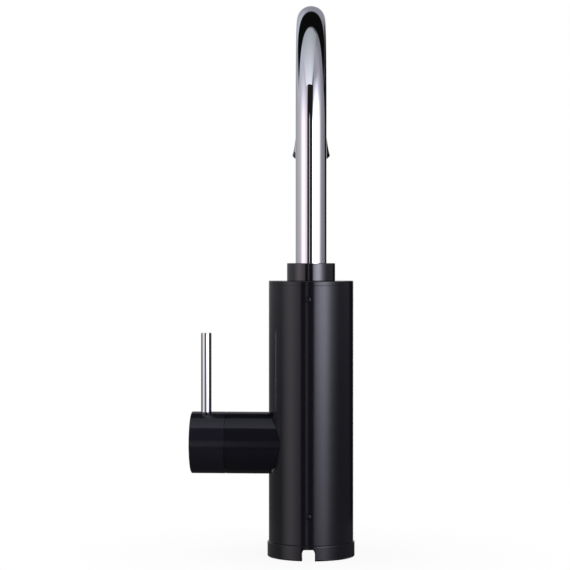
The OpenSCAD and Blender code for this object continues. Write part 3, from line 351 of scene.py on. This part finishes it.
# Base flange
# The foot is one moulding in black ABS: a skirt on the worktop with an arch at the back for the
# mains lead, a floor with holes for the water inlet and the cable gland, a ring that plugs up into
# the shell, and two pillars that carry the terminal block.
noise_low = 0.3
noise_high = 0.7
gloss_swing = 0.12


def patchy(name, dark, light, roughness, patch_mm, bump_mm=0.0, metallic=0.0, ior=1.5, stretch=(1, 1, 1)):
    """A surface with patches of two near colours and of gloss, and a relief five times as fine.

    The stretch packs both patterns along an axis where it is over 1 and draws them out under 1.
    """
    material = bpy.data.materials.new(name)
    material.use_nodes = True
    tree = material.node_tree
    shader = tree.nodes["Principled BSDF"]
    shader.inputs["Metallic"].default_value = metallic
    shader.inputs["IOR"].default_value = ior
    place = add(tree, "ShaderNodeTexCoord").outputs["Object"]
    drawn_out = add(tree, "ShaderNodeMapping", sockets={"Vector": place, "Scale": stretch}).outputs[0]
    patches_a_metre = 1000 / patch_mm
    patches = add(tree, "ShaderNodeTexNoise", sockets={
        "Vector": drawn_out, "Scale": patches_a_metre, "Detail": 4.0, "Roughness": 0.6
    }).outputs["Fac"]
    colour = add(tree, "ShaderNodeMix", {"data_type": "RGBA"}, {
        "Factor": patches, 6: linear(dark), 7: linear(light)
    })
    gloss = add(tree, "ShaderNodeMapRange", sockets={
        "Value": patches, "From Min": noise_low, "From Max": noise_high,
        "To Min": roughness * (1 - gloss_swing), "To Max": roughness * (1 + gloss_swing)
    })
    tree.links.new(colour.outputs[2], shader.inputs["Base Color"])
    tree.links.new(gloss.outputs["Result"], shader.inputs["Roughness"])
    if bump_mm:
        relief = add(tree, "ShaderNodeTexNoise", sockets={
            "Vector": drawn_out, "Scale": 5 * patches_a_metre, "Detail": 2.0
        }).outputs["Fac"]
        bump = add(tree, "ShaderNodeBump", sockets={
            "Strength": 1.0, "Distance": bump_mm / 1000, "Height": relief
        })
        tree.links.new(bump.outputs["Normal"], shader.inputs["Normal"])
    return material


# Moulded ABS with a satin gloss: clear reflections, a little softened, over a faintly violet black.
black_abs = patchy(
    "black_abs_satin_gloss", "#141319", "#19181e", roughness=0.14, patch_mm=6, bump_mm=0.0005, ior=1.46
)

long_wall = 0.002
corner_strip = 0.0003


def turned(outline, closed=True, steps=160):
    """A shape turned on the Z axis from corners (radius, height, rounding).

    Short strips beside each corner keep the shading of the long walls flat.
    """
    shape = bmesh.new()
    corners = [shape.verts.new((radius, 0, height)) for radius, height, rounding in outline]
    for start, end in zip(corners, corners[1:] + corners[:1] * closed):
        shape.edges.new((start, end))
    for corner, (radius, height, rounding) in zip(corners, outline):
        if rounding:
            bmesh.ops.bevel(
                shape, geom=[corner], offset=rounding, offset_type="OFFSET", segments=4,
                profile=0.5, affect="VERTICES", material=-1
            )
    for edge in shape.edges[:]:
        if edge.calc_length() > long_wall:
            for end in edge.verts[:]:
                bmesh.utils.edge_split(edge, end, corner_strip / edge.calc_length())
    bmesh.ops.spin(
        shape, geom=shape.verts[:] + shape.edges[:], cent=(0, 0, 0), axis=(0, 0, 1),
        dvec=(0, 0, 0), angle=math.tau, steps=steps, use_merge=True
    )
    bmesh.ops.remove_doubles(shape, verts=shape.verts, dist=1e-7)
    bmesh.ops.recalc_face_normals(shape, faces=shape.faces)
    return shape


def bar(start, end, radius, steps=64):
    """A plain round bar between two points."""
    axis = Vector(end) - Vector(start)
    shape = bmesh.new()
    bmesh.ops.create_cone(
        shape, cap_ends=True, segments=steps, radius1=radius, radius2=radius, depth=axis.length,
        matrix=Matrix.Translation((Vector(start) + Vector(end)) / 2)
        @ axis.to_track_quat("Z", "Y").to_matrix().to_4x4()
    )
    return shape


def carve(shape, tools, operation="DIFFERENCE"):
    """Cuts the tool shapes out of a shape, or joins them to it."""
    stock = object_of("stock", shape)
    blades = [object_of("blade", tool) for tool in tools]
    for blade in blades:
        step = stock.modifiers.new("carve", "BOOLEAN")
        step.operation = operation
        step.object = blade
        step.solver = "EXACT"
    result = bmesh.new()
    result.from_object(stock, bpy.context.evaluated_depsgraph_get())
    for used in [stock] + blades:
        bpy.data.objects.remove(used)
    bmesh.ops.remove_doubles(result, verts=result.verts, dist=1e-6)
    return result


sharp_degrees = 35


def show(name, shape, material, body, nodes):
    """Finishes a piece: smooth shading with sharp corners, its material and body, and its CAD nodes
    hidden.
    """
    piece = object_of(name, shape)
    mesh = piece.data
    mesh.polygons.foreach_set("use_smooth", [True] * len(mesh.polygons))
    mesh.set_sharp_from_angle(angle=math.radians(sharp_degrees))
    mesh.materials.append(material)
    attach(piece, body)
    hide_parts(*nodes)
    return piece


fit = 0.00005
shell_low, shell_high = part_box("body_shell")
shell_r = shell_high.x
shell_wall = 0.002
flange_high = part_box("base_flange")[1]
flange_r = flange_high.x
flange_top = shell_low.z
recess_r = flange_r - 0.005
plug_r = shell_r - shell_wall - fit
plug_in = plug_r - 0.0025
floor_z = 0.0098
floor_top = 0.013
floor_bore = 0.005
pillar_top = flange_high.z - 0.006
plug_top = pillar_top - 0.0005
gasket_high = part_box("base_gasket")[1]
gasket_r = gasket_high.x
gasket_in = gasket_r - 0.0026
gasket_t = gasket_high.z
foot = turned([
    (recess_r, 0, 0.0002), (gasket_in - fit, 0, 0), (gasket_in - fit, gasket_t + fit, 0),
    (gasket_r + fit, gasket_t + fit, 0), (gasket_r + fit, 0, 0), (flange_r, 0, 0.0008),
    (flange_r, flange_top, 0.0006), (plug_r, flange_top, 0), (plug_r, plug_top, 0.0003),
    (plug_in, plug_top, 0), (plug_in, floor_top, 0), (floor_bore, floor_top, 0),
    (floor_bore, floor_z, 0), (recess_r, floor_z, 0.0003)
])

# The arch is a round bar and a block under it, both taken through the skirt. The holes in the floor
# let the inlet and the gland through, and the one in the ring takes the lower screw.
notch_r = 0.0045
notch_top = 0.0094
arch_z = notch_top - notch_r
past_skirt = 0.005
past_wall = 0.002
skirt_middle = (flange_r + recess_r) / 2
skirt_depth = flange_r - recess_r + 2 * past_skirt
mouth = bmesh.new()
bmesh.ops.create_cube(
    mouth, size=1, matrix=Matrix.Translation((0, skirt_middle, (arch_z - past_wall) / 2))
    @ Matrix.Diagonal((2 * notch_r, skirt_depth, arch_z + past_wall, 1))
)
inlet_hole_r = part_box("inlet_fitting")[1].x - 0.0009
gland_low, gland_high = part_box("cable_gland")
gland_y = (gland_low.y + gland_high.y) / 2
gland_hole_r = gland_high.x - 0.0005
screws_low, screws_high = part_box("shell_screws")
screw_r = screws_high.x
thread_r = 0.0014
screw_places = [round(screws_low.z + screw_r, 4), round(screws_high.z - screw_r, 4)]
hole_low = floor_z - past_wall
hole_top = floor_top + past_wall
foot = carve(foot, [
    bar((0, recess_r - past_skirt, arch_z), (0, flange_r + past_skirt, arch_z), notch_r),
    mouth,
    bar((0, 0, hole_low), (0, 0, hole_top), inlet_hole_r),
    bar((0, gland_y, hole_low), (0, gland_y, hole_top), gland_hole_r),
    bar(
        (0, plug_in - past_wall, screw_places[0]), (0, plug_r + past_wall, screw_places[0]),
        thread_r + fit, 32
    )
])

pillar_r = 0.002
pillar_pin_r = 0.0012
pillar_low = floor_top - 0.001
pillar_apart = 0.0092
pillars = []
for side in (-1, 1):
    pillar = turned([
        (0, pillar_low, 0), (pillar_r, pillar_low, 0), (pillar_r, pillar_top, 0.0002),
        (pillar_pin_r, pillar_top, 0), (pillar_pin_r, flange_high.z, 0.0002), (0, flange_high.z, 0)
    ], closed=False, steps=32)
    bmesh.ops.translate(pillar, verts=pillar.verts, vec=(side * pillar_apart, gland_y, 0))
    pillars.append(pillar)
foot = carve(foot, pillars, "UNION")
show("foot", foot, black_abs, "tap_body", ["base_flange"])


# Base gasket and water inlet
# A moulded rubber ring seals the foot to the worktop. The inlet is turned from brass bar and clamped
# to the floor by a hexagon nut. A screen and a drawn stainless tube with two seals lead to the valve.
def dress(material, *nodes):
    """Gives CAD nodes that stay as they are their finish."""
    for node in nodes:
        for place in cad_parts[node].material_slots:
            place.material = material


# Moulded EPDM is matt: it shows no highlight, only a soft paler edge.
rubber = patchy("epdm_rubber_moulded", "#1a1a1b", "#232324", roughness=0.65, patch_mm=3, bump_mm=0.01)
# Turning leaves fine rings round the brass, which stretch its highlights. They are drawn at 0.2 mm,
# coarser than the tool's real feed.
brass = patchy(
    "brass_turned", "#b8924a", "#cda85c", roughness=0.28, patch_mm=0.5, bump_mm=0.002, metallic=1.0,
    stretch=(0.15, 0.15, 3)
)
# Drawing lines run along the tube and draw its highlights out lengthwise.
tube_steel = patchy(
    "stainless_tube_drawn", "#a9a7a3", "#bdbbb7", roughness=0.3, patch_mm=0.5, bump_mm=0.001,
    metallic=1.0, stretch=(3, 3, 0.1)
)
# An etched steel screen glitters in fine grey and gives no clear reflection.
etched_steel = patchy(
    "stainless_screen_etched", "#9d9b97", "#b5b3af", roughness=0.38, patch_mm=0.3, bump_mm=0.002,
    metallic=1.0
)
dress(rubber, "base_gasket", "inlet_tube_seals")
dress(brass, "inlet_fitting", "inlet_nut")
dress(etched_steel, "inlet_screen")
dress(tube_steel, "inlet_tube")

# Electric inlet
# The mains lead would enter through a nylon gland in the floor. A nylon terminal block with brass
# clamps stands behind it, the earth goes to a brass tag under the inlet nut, and PVC wires run up
# to the switch and the heater.

# Black nylon has a duller, waxier sheen than the ABS beside it.
gland_nylon = patchy(
    "black_nylon_moulded", "#161617", "#1c1c1d", roughness=0.42, patch_mm=2, bump_mm=0.004
)
# Natural nylon is a milky, slightly yellow white.
nylon = patchy(
    "natural_nylon_moulded", "#cfcabb", "#ddd9cc", roughness=0.45, patch_mm=3, bump_mm=0.006
)
# Bright zinc plating is bluish, and cloudy with fine crystals.
zinc = patchy(
    "steel_zinc_plated", "#a3a6a8", "#bcbfc0", roughness=0.32, patch_mm=0.6, bump_mm=0.002, metallic=1.0
)
dress(gland_nylon, "cable_gland")
dress(nylon, "terminal_block")
dress(zinc, "terminal_screws")
dress(brass, "earth_tag")
# PVC insulation is smooth and deep in colour, with a soft line of light along the wire.
for colour, dark, light, wires in (
    ("brown", "#5d3c22", "#6b4629", ["wire_live", "wire_link", "wire_heater"]),
    ("blue", "#2c6cb4", "#3577c0", ["wire_neutral"]),
    ("green", "#4f9a31", "#64ad3c", ["wire_earth"])
):
    pvc = patchy(f"{colour}_pvc_insulation", dark, light, roughness=0.4, patch_mm=2, bump_mm=0.004)
    dress(pvc, *wires)

# Valve
# A turned brass block takes the water to a cartridge with two lapped ceramic discs. The moving disc
# turns with the stem, under an acetal body held by a brass nut.

# Lapped alumina is ivory white with a sharp, wet-looking shine.
ceramic = patchy("alumina_lapped", "#e6e1d6", "#f0ece3", roughness=0.12, patch_mm=1, ior=1.7)
# Acetal is whiter and slicker than nylon.
acetal = patchy("white_acetal_moulded", "#e8e7e2", "#f1f0ec", roughness=0.35, patch_mm=3, bump_mm=0.003)
# The same brass as the inlet's, turned about the handle's axis, so its rings lie across X.
brass_across = patchy(
    "brass_turned_across", "#b8924a", "#cda85c", roughness=0.28, patch_mm=0.5, bump_mm=0.002,
    metallic=1.0, stretch=(3, 0.15, 0.15)
)
dress(brass_across, "valve_block", "cartridge_housing", "cartridge_stem", "cartridge_nut")
dress(rubber, "port_gasket", "disc_seal", "stem_seal")
dress(zinc, "valve_screws", "knob_grub_screw")
dress(acetal, "cartridge_body")
dress(ceramic, "fixed_disc", "moving_disc")

# Flow switch
# Water pressure lifts a rubber diaphragm, and its acetal plunger presses the button of a small
# switch in a glass-filled nylon housing. A spring wound from stainless wire pushes it back.

# Glass fibres leave the nylon speckled and nearly matt.
filled_nylon = patchy(
    "glass_filled_nylon_moulded", "#2b2b2d", "#363638", roughness=0.5, patch_mm=1, bump_mm=0.008
)
# Red ABS is glossy, so the button stands out against the switch.
red = patchy("red_abs_moulded", "#a32a22", "#b3342a", roughness=0.35, patch_mm=2, bump_mm=0.003)
# Drawn spring wire is bright, with faint lines.
spring_wire = patchy(
    "stainless_spring_wire_drawn", "#97948f", "#aba8a3", roughness=0.25, patch_mm=0.4, bump_mm=0.001,
    metallic=1.0
)
dress(rubber, "diaphragm")
dress(acetal, "switch_plunger")
dress(filled_nylon, "switch_housing", "microswitch")
dress(zinc, "switch_housing_screws", "microswitch_screws")
dress(red, "microswitch_button")

spring_low, spring_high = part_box("plunger_spring")
spring_x = (spring_low.x + spring_high.x) / 2
spring_len = spring_high.z - spring_low.z
wire_r = 0.00035
coil_r = (spring_high.x - spring_low.x) / 2 - wire_r
coils = 4
turn_steps = 32
coil_rise = (spring_len - 2 * wire_r) / coils
spring = bmesh.new()
bmesh.ops.create_circle(
    spring, cap_ends=True, segments=12, radius=wire_r,
    matrix=Matrix.Translation((spring_x + coil_r, 0, spring_low.z + wire_r))
    @ Matrix.Rotation(math.pi / 2, 4, "X")
)
bmesh.ops.spin(
    spring, geom=spring.faces[:], cent=(spring_x, 0, 0), axis=(0, 0, 1),
    dvec=(0, 0, coil_rise / turn_steps), angle=math.tau * coils, steps=turn_steps * coils,
    use_merge=False
)
bmesh.ops.remove_doubles(spring, verts=spring.verts, dist=1e-7)
bmesh.ops.recalc_face_normals(spring, faces=spring.faces)
coil = show("return_spring", spring, spring_wire, "tap_body", ["plunger_spring"])
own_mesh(coil)

# Heater
# A glass-filled nylon tank holds a bent stainless tube element, sealed by rubber rings and brass
# nuts. A ceramic cut-out in a clip lies against its wall.

# Annealing leaves the element's sheath a warm grey.
sheath = patchy(
    "stainless_element_annealed", "#8f8b84", "#a8a39a", roughness=0.34, patch_mm=1.5, bump_mm=0.002,
    metallic=1.0
)
dress(filled_nylon, "tank_body", "tank_lid")
dress(rubber, "tank_inlet_seal", "tank_seal", "element_seals")
dress(sheath, "heating_element")
dress(brass, "element_nuts")
dress(zinc, "tank_screws")
dress(ceramic, "thermal_cutout")

# Body shell
# An extruded and turned sleeve in black ABS with a satin gloss, 60 mm across. Its edges are just
# broken. A wide hole at the side lets the cartridge out, and two small ones at the back take the
# screws that hold it to the foot and the cap.
edge = 0.00006
screw_band = 0.004
hole_start = 0.001
cover_low, cover_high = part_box("barrel_cover")
barrel_r = cover_high.y
barrel_z = (cover_low.z + cover_high.z) / 2
cover_in = barrel_r - 0.00295
inside_r = shell_r - shell_wall
beside_screws = [(shell_r, z + step, 0) for z in screw_places for step in (-screw_band, screw_band)]
shell = turned([(shell_r, shell_low.z, edge)] + beside_screws + [
    (shell_r, shell_high.z, edge), (inside_r, shell_high.z, edge), (inside_r, shell_low.z, edge)
])
side_hole = bar((hole_start, 0, barrel_z), (shell_r + past_wall, 0, barrel_z), cover_in + fit, 128)
shell = carve(shell, [side_hole] + [
    bar((0, inside_r - past_wall, z), (0, shell_r + past_wall, z), screw_r + fit, 48)
    for z in screw_places
])
show("sleeve", shell, black_abs, "tap_body", ["body_shell"])

# Shell screws
# Two black steel screws with a low domed head and a hexagon socket, sunk just below the sleeve.
# They hold it to the foot and to the cap.

# Oiled black oxide is a deep black with a soft spot of light on the dome.
blackened = patchy(
    "steel_black_oxide_oiled", "#141319", "#1b1a20", roughness=0.34, patch_mm=0.8, bump_mm=0.001
)
head_top = screws_high.y
head_low = head_top - 0.0012
dome_low = head_top - 0.00045
dome_flat_r = 0.0014
socket_r = 0.001
socket_floor = head_top - 0.0009
past_head = 0.001
heads = bmesh.new()
for z in screw_places:
    head = turned([
        (0, plug_in, 0), (thread_r, plug_in, 0.0002), (thread_r, head_low, 0),
        (screw_r, head_low, 0.0001), (screw_r, dome_low, 0.0002),
        (dome_flat_r, head_top, 0.0008), (0, head_top, 0)
    ], closed=False, steps=64)
    bmesh.ops.rotate(
        head, verts=head.verts, cent=(0, 0, 0), matrix=Matrix.Rotation(-math.pi / 2, 3, "X")
    )
    bmesh.ops.translate(head, verts=head.verts, vec=(0, 0, z))
    head = carve(head, [bar((0, socket_floor, z), (0, head_top + past_head, z), socket_r, 6)])
    part = bpy.data.meshes.new("screw")
    head.to_mesh(part)
    head.free()
    heads.from_mesh(part)
    bpy.data.meshes.remove(part)
show("shell_screw_heads", heads, blackened, "tap_body", ["shell_screws"])

# Top cap
# A disc of the same ABS closes the sleeve, with a fine seam between them. Its ring plugs down into
# the sleeve, and the neck of the tank passes through it.
cap_low, cap_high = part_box("top_cap")
neck_r = 0.0145
cap_bore = neck_r + 0.0001
cap = turned([
    (cap_bore, shell_high.z, 0), (plug_in, shell_high.z, 0), (plug_in, cap_low.z, 0),
    (plug_r, cap_low.z, 0.0003), (plug_r, shell_high.z, 0), (shell_r, shell_high.z, edge),
    (shell_r, cap_high.z, 0.0005), (cap_bore, cap_high.z, 0)
])
cap = carve(cap, [bar(
    (0, plug_in - past_wall, screw_places[1]), (0, plug_r + past_wall, screw_places[1]),
    thread_r + fit, 32
)])
show("cap", cap, black_abs, "tap_body", ["top_cap"])

# Collar nut
# A ring nut, moulded in black ABS, screws over the neck that the spout turns in. A thin lip at its
# top closes in on the pipe.

# Its mould was polished, so its skin is glossier and mirrors the lights more strongly than the sleeve.
collar_gloss = patchy(
    "black_abs_polished", "#141319", "#19181e", roughness=0.1, patch_mm=6, ior=1.64
)
collar_low, collar_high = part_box("collar_nut")
pipe_r = 0.011
lip_r = pipe_r + 0.0001
lip_z = collar_high.z - 0.0016
collar = turned([
    (neck_r + fit, collar_low.z, 0), (collar_high.x, collar_low.z, 0.0001),
    (collar_high.x, collar_high.z, 0.0005), (lip_r, collar_high.z, 0.0001), (lip_r, lip_z, 0),
    (neck_r + fit, lip_z, 0)
])
show("collar", collar, collar_gloss, "tap_body", ["collar_nut"])

# Handle barrel
# The fixed cover is a moulded drum that is saddled on to the sleeve. The knob is a second drum of
# the same size past a thin seam, with a flat end, a small rounding at its edge and a hub inside.

# The drum is a shade paler than the sleeve and mirrors a little less.
drum_abs = patchy(
    "black_abs_satin_gloss_drum", "#17161c", "#1c1b21", roughness=0.14, patch_mm=6, bump_mm=0.0005,
    ior=1.4
)
seam_depth = 0.0004
seam_step = 0.0004
seam_r = barrel_r - seam_depth
saddle_x = 0.001
cover_bore = 0.006
cover_end = cover_high.x + seam_step
cover_end_in = cover_high.x - 0.0025
along_barrel = Matrix.Translation((0, 0, barrel_z)) @ Matrix.Rotation(math.pi / 2, 4, "Y")
cover = turned([
    (cover_in, saddle_x, 0), (barrel_r, saddle_x, 0), (barrel_r, cover_high.x, 0.0001),
    (seam_r, cover_high.x, 0), (seam_r, cover_end, 0), (cover_bore, cover_end, 0),
    (cover_bore, cover_end_in, 0), (cover_in, cover_end_in, 0)
])
bmesh.ops.transform(cover, matrix=along_barrel, verts=cover.verts)
for corner in cover.verts:
    if corner.co.x < shell_r / 2:
        corner.co.x += math.sqrt((shell_r + fit) ** 2 - corner.co.y ** 2) - saddle_x
show("drum", cover, drum_abs, "tap_body", ["barrel_cover"])

# The knob's moulding is paler again.
knob_abs = patchy(
    "black_abs_satin_gloss_knob", "#1f1e24", "#242329", roughness=0.14, patch_mm=6, bump_mm=0.0005,
    ior=1.4
)
knob_low, knob_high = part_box("knob")
knob_in = barrel_r - 0.0025
end_in = knob_high.x - 0.003
hub_r = 0.009
hub_bore = 0.005 + fit
hub_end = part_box("cartridge_stem")[1].x + 0.0005
knob = turned([
    (0, hub_end, 0), (hub_bore, hub_end, 0), (hub_bore, knob_low.x, 0), (hub_r, knob_low.x, 0),
    (hub_r, end_in, 0), (knob_in, end_in, 0), (knob_in, knob_low.x, 0),
    (barrel_r, knob_low.x, 0.0001), (barrel_r, knob_high.x, 0.0008), (0, knob_high.x, 0)
], closed=False)
bmesh.ops.transform(knob, matrix=along_barrel, verts=knob.verts)

# Two bosses between the hub and the wall, one bored for the lever rod and one for the grub screw.
rod_low, rod_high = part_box("lever_rod")
rod_x = (rod_low.x + rod_high.x) / 2
rod_r = (rod_high.x - rod_low.x) / 2
rod_seat = rod_low.z + 0.008
rod_pin_r = 0.0025
rod_boss_r = rod_r + 0.002
grub_low, grub_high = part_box("knob_grub_screw")
grub_x = (grub_low.x + grub_high.x) / 2
grub_r = 0.002
grub_boss_r = 0.004
boss_low = 0.006
boss_high = knob_in + 0.001
knob = carve(knob, [
    bar((rod_x, 0, barrel_z + boss_low), (rod_x, 0, barrel_z + boss_high), rod_boss_r),
    bar((grub_x, 0, barrel_z - boss_high), (grub_x, 0, barrel_z - boss_low), grub_boss_r)
], "UNION")
bore_end = barrel_r + past_wall
knob = carve(knob, [
    bar((rod_x, 0, rod_seat), (rod_x, 0, barrel_z + bore_end), rod_r + fit),
    bar((rod_x, 0, rod_low.z), (rod_x, 0, rod_seat + 0.001), rod_pin_r + fit, 48),
    bar((grub_x, 0, barrel_z - bore_end), (grub_x, 0, barrel_z - hub_bore), grub_r + fit, 48)
])
show("knob_drum", knob, knob_abs, "handle", ["knob"])

# Lever rod
# A bar of stainless steel, ground and polished, with a thinner pin at its foot. It is screwed into
# the knob's boss.

# The polishing ran along the bar, so it mirrors the room in thin lines along its length.
polished = patchy(
    "stainless_ground_polished", "#d6d8d4", "#e0e2de", roughness=0.06, patch_mm=2, metallic=1.0,
    stretch=(4, 4, 0.1)
)
rod = turned([
    (0, rod_high.z, 0), (rod_r, rod_high.z, 0.0003), (rod_r, rod_seat, 0), (rod_pin_r, rod_seat, 0),
    (rod_pin_r, rod_low.z, 0.0003), (0, rod_low.z, 0)
], closed=False, steps=96)
bmesh.ops.translate(rod, verts=rod.verts, vec=(rod_x, 0, 0))
show("rod", rod, polished, "handle", ["lever_rod"])

# Spout
# A brass pipe of 22 mm, bent in one plane to a gooseneck, flared at its mouth, polished and chromed.
# Its thick foot turns in the neck under the collar nut, with grooves for two seals and a clip.

# Chrome plate mirrors the studio sharply, with a faint cool tint.
chrome = patchy(
    "chrome_plated_brass", "#e4e4e6", "#e9e9eb", roughness=0.03, patch_mm=40, metallic=1.0
)
spout_low, spout_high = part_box("spout_tube")
pipe_in = 0.010
spigot_in = pipe_r - 0.003
thick_top = collar_high.z + 0.004
bend_r = 0.080
bend_z = spout_high.z - bend_r - pipe_r
bend_angle = math.radians(160)
spout_turn = math.radians(3.4)
leg_len = 0.047
flare_len = 0.038
ring_h = 0.0055
mouth_r = 0.0148
housing_low = leg_len - 0.018
flare_arc = (flare_len ** 2 + (mouth_r - pipe_r) ** 2) / (2 * (mouth_r - pipe_r))


def flare_r(along):
    """The mouth's outer radius at a distance along the flare."""
    return pipe_r + flare_arc - math.sqrt(flare_arc ** 2 - along ** 2)


spout = bmesh.new()
bmesh.ops.create_circle(
    spout, segments=128, radius=pipe_r, matrix=Matrix.Translation((0, 0, spout_low.z))
)
edges = spout.edges[:]
bend_centre = Vector((bend_r, 0, bend_z))
leg_start = bend_centre + Matrix.Rotation(bend_angle, 3, "Y") @ Vector((-bend_r, 0, 0))
leg_way = Matrix.Rotation(bend_angle, 3, "Y") @ Vector((0, 0, 1))


def drawn(edges, move, about=None, scale=1.0):
    """Extends a tube from its last ring of edges, moves the new ring and scales it about a point."""
    made = bmesh.ops.extrude_edge_only(spout, edges=edges)["geom"]
    verts = [part for part in made if isinstance(part, bmesh.types.BMVert)]
    bmesh.ops.translate(spout, verts=verts, vec=move)
    if about is not None:
        middle = Matrix.Translation(about)
        bmesh.ops.transform(
            spout, matrix=middle @ Matrix.Scale(scale, 4) @ middle.inverted(), verts=verts
        )
    return [part for part in made if isinstance(part, bmesh.types.BMEdge)]


def bent(edges, angle):
    """Carries a ring of edges round the bend."""
    swept = bmesh.ops.spin(
        spout, geom=edges + list({corner for edge in edges for corner in edge.verts}), cent=bend_centre,
        axis=(0, 1, 0), dvec=(0, 0, 0), angle=angle, steps=120, use_merge=False
    )["geom_last"]
    return [part for part in swept if isinstance(part, bmesh.types.BMEdge)]


# Up the outside of the foot, with its three grooves.
seals_low, seals_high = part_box("spout_seals")
clip_low, clip_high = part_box("retaining_ring")
seal_floor = pipe_r - 0.0013
seal_slack = 0.0003
seal_w = 0.0016
clip_floor = pipe_r - 0.0011
height = spout_low.z
for low, high, floor in (
    (seals_low.z - seal_slack, seals_low.z + seal_w, seal_floor),
    (seals_high.z - seal_w, seals_high.z + seal_slack, seal_floor),
    (clip_low.z - fit, clip_high.z + fit, clip_floor)
):
    edges = drawn(edges, (0, 0, low - height))
    edges = drawn(edges, (0, 0, 0), (0, 0, low), floor / pipe_r)
    edges = drawn(edges, (0, 0, high - low))
    edges = drawn(edges, (0, 0, 0), (0, 0, high), pipe_r / floor)
    height = high

# On round the bend, between two short rings that keep the shading smooth, and down the flare.
short_ring = 0.0005
edges = drawn(edges, (0, 0, bend_z - short_ring - height))
edges = bent(drawn(edges, (0, 0, short_ring)), bend_angle)
edges = drawn(edges, leg_way * short_ring)
flare_start = leg_len - flare_len
edges = drawn(edges, leg_way * (flare_start - short_ring))
flare_steps = 24
flare_step = (flare_len - ring_h) / flare_steps
for i in range(flare_steps):
    about = leg_start + leg_way * (flare_start + flare_step * (i + 1))
    widening = flare_r(flare_step * (i + 1)) / flare_r(flare_step * i)
    edges = drawn(edges, leg_way * flare_step, about, widening)

# In at the mouth, up the ring's seat and back through the bore to the foot.
mouth_at = leg_start + leg_way * (leg_len - ring_h)
edges = drawn(edges, (0, 0, 0), mouth_at, pipe_r / flare_r(flare_len - ring_h))
edges = drawn(edges, leg_way * (housing_low - leg_len + ring_h))
edges = drawn(edges, (0, 0, 0), leg_start + leg_way * housing_low, pipe_in / pipe_r)
edges = bent(drawn(edges, leg_way * -housing_low), -bend_angle)
edges = drawn(edges, (0, 0, thick_top - bend_z))
edges = drawn(edges, (0, 0, 0), (0, 0, thick_top), spigot_in / pipe_in)
edges = drawn(edges, (0, 0, spout_low.z - thick_top))
drawn(edges, (0, 0, 0), (0, 0, spout_low.z), pipe_r / spigot_in)
bmesh.ops.remove_doubles(spout, verts=spout.verts, dist=1e-6)
bmesh.ops.recalc_face_normals(spout, faces=spout.faces)
to_spout = Matrix.Rotation(spout_turn - math.pi / 2, 4, "Z")
bmesh.ops.transform(spout, matrix=to_spout, verts=spout.verts)
show("gooseneck", spout, chrome, "spout", ["spout_tube"])
dress(rubber, "spout_seals")
dress(acetal, "slip_washer")
dress(etched_steel, "retaining_ring")

# Outlet
# A black ring screws into the spout's mouth and carries its curve on to a bevelled rim. It holds a
# rubber washer, a stainless screen and the nylon jet former that shows in the mouth.
at_leg = to_spout @ Matrix.Translation(leg_start) @ Matrix.Rotation(bend_angle, 4, "Y")
ring_top = leg_len - ring_h
seat_z = ring_top + fit
spigot_low = housing_low + 0.0012
spigot_r = pipe_r - fit
bevel = 0.0012
aerator_r = 0.0096
lip_in = aerator_r - 0.001
lip_low = leg_len - 0.0014
ring = turned([
    (spigot_r, spigot_low, 0.0002), (spigot_r, seat_z, 0), (flare_r(flare_len - ring_h), seat_z, 0.0001),
    (flare_r(flare_len - ring_h / 2), leg_len - ring_h / 2, 0), (mouth_r, leg_len - bevel, 0.0003),
    (mouth_r - bevel, leg_len, 0.0003), (lip_in, leg_len, 0.0003), (lip_in, lip_low, 0),
    (aerator_r, lip_low, 0), (aerator_r, spigot_low, 0)
], steps=128)
bmesh.ops.transform(ring, matrix=at_leg, verts=ring.verts)
show("aerator_ring", ring, black_abs, "spout", ["aerator_housing"])
dress(rubber, "aerator_washer")
dress(etched_steel, "aerator_screen")
dress(nylon, "aerator_insert")
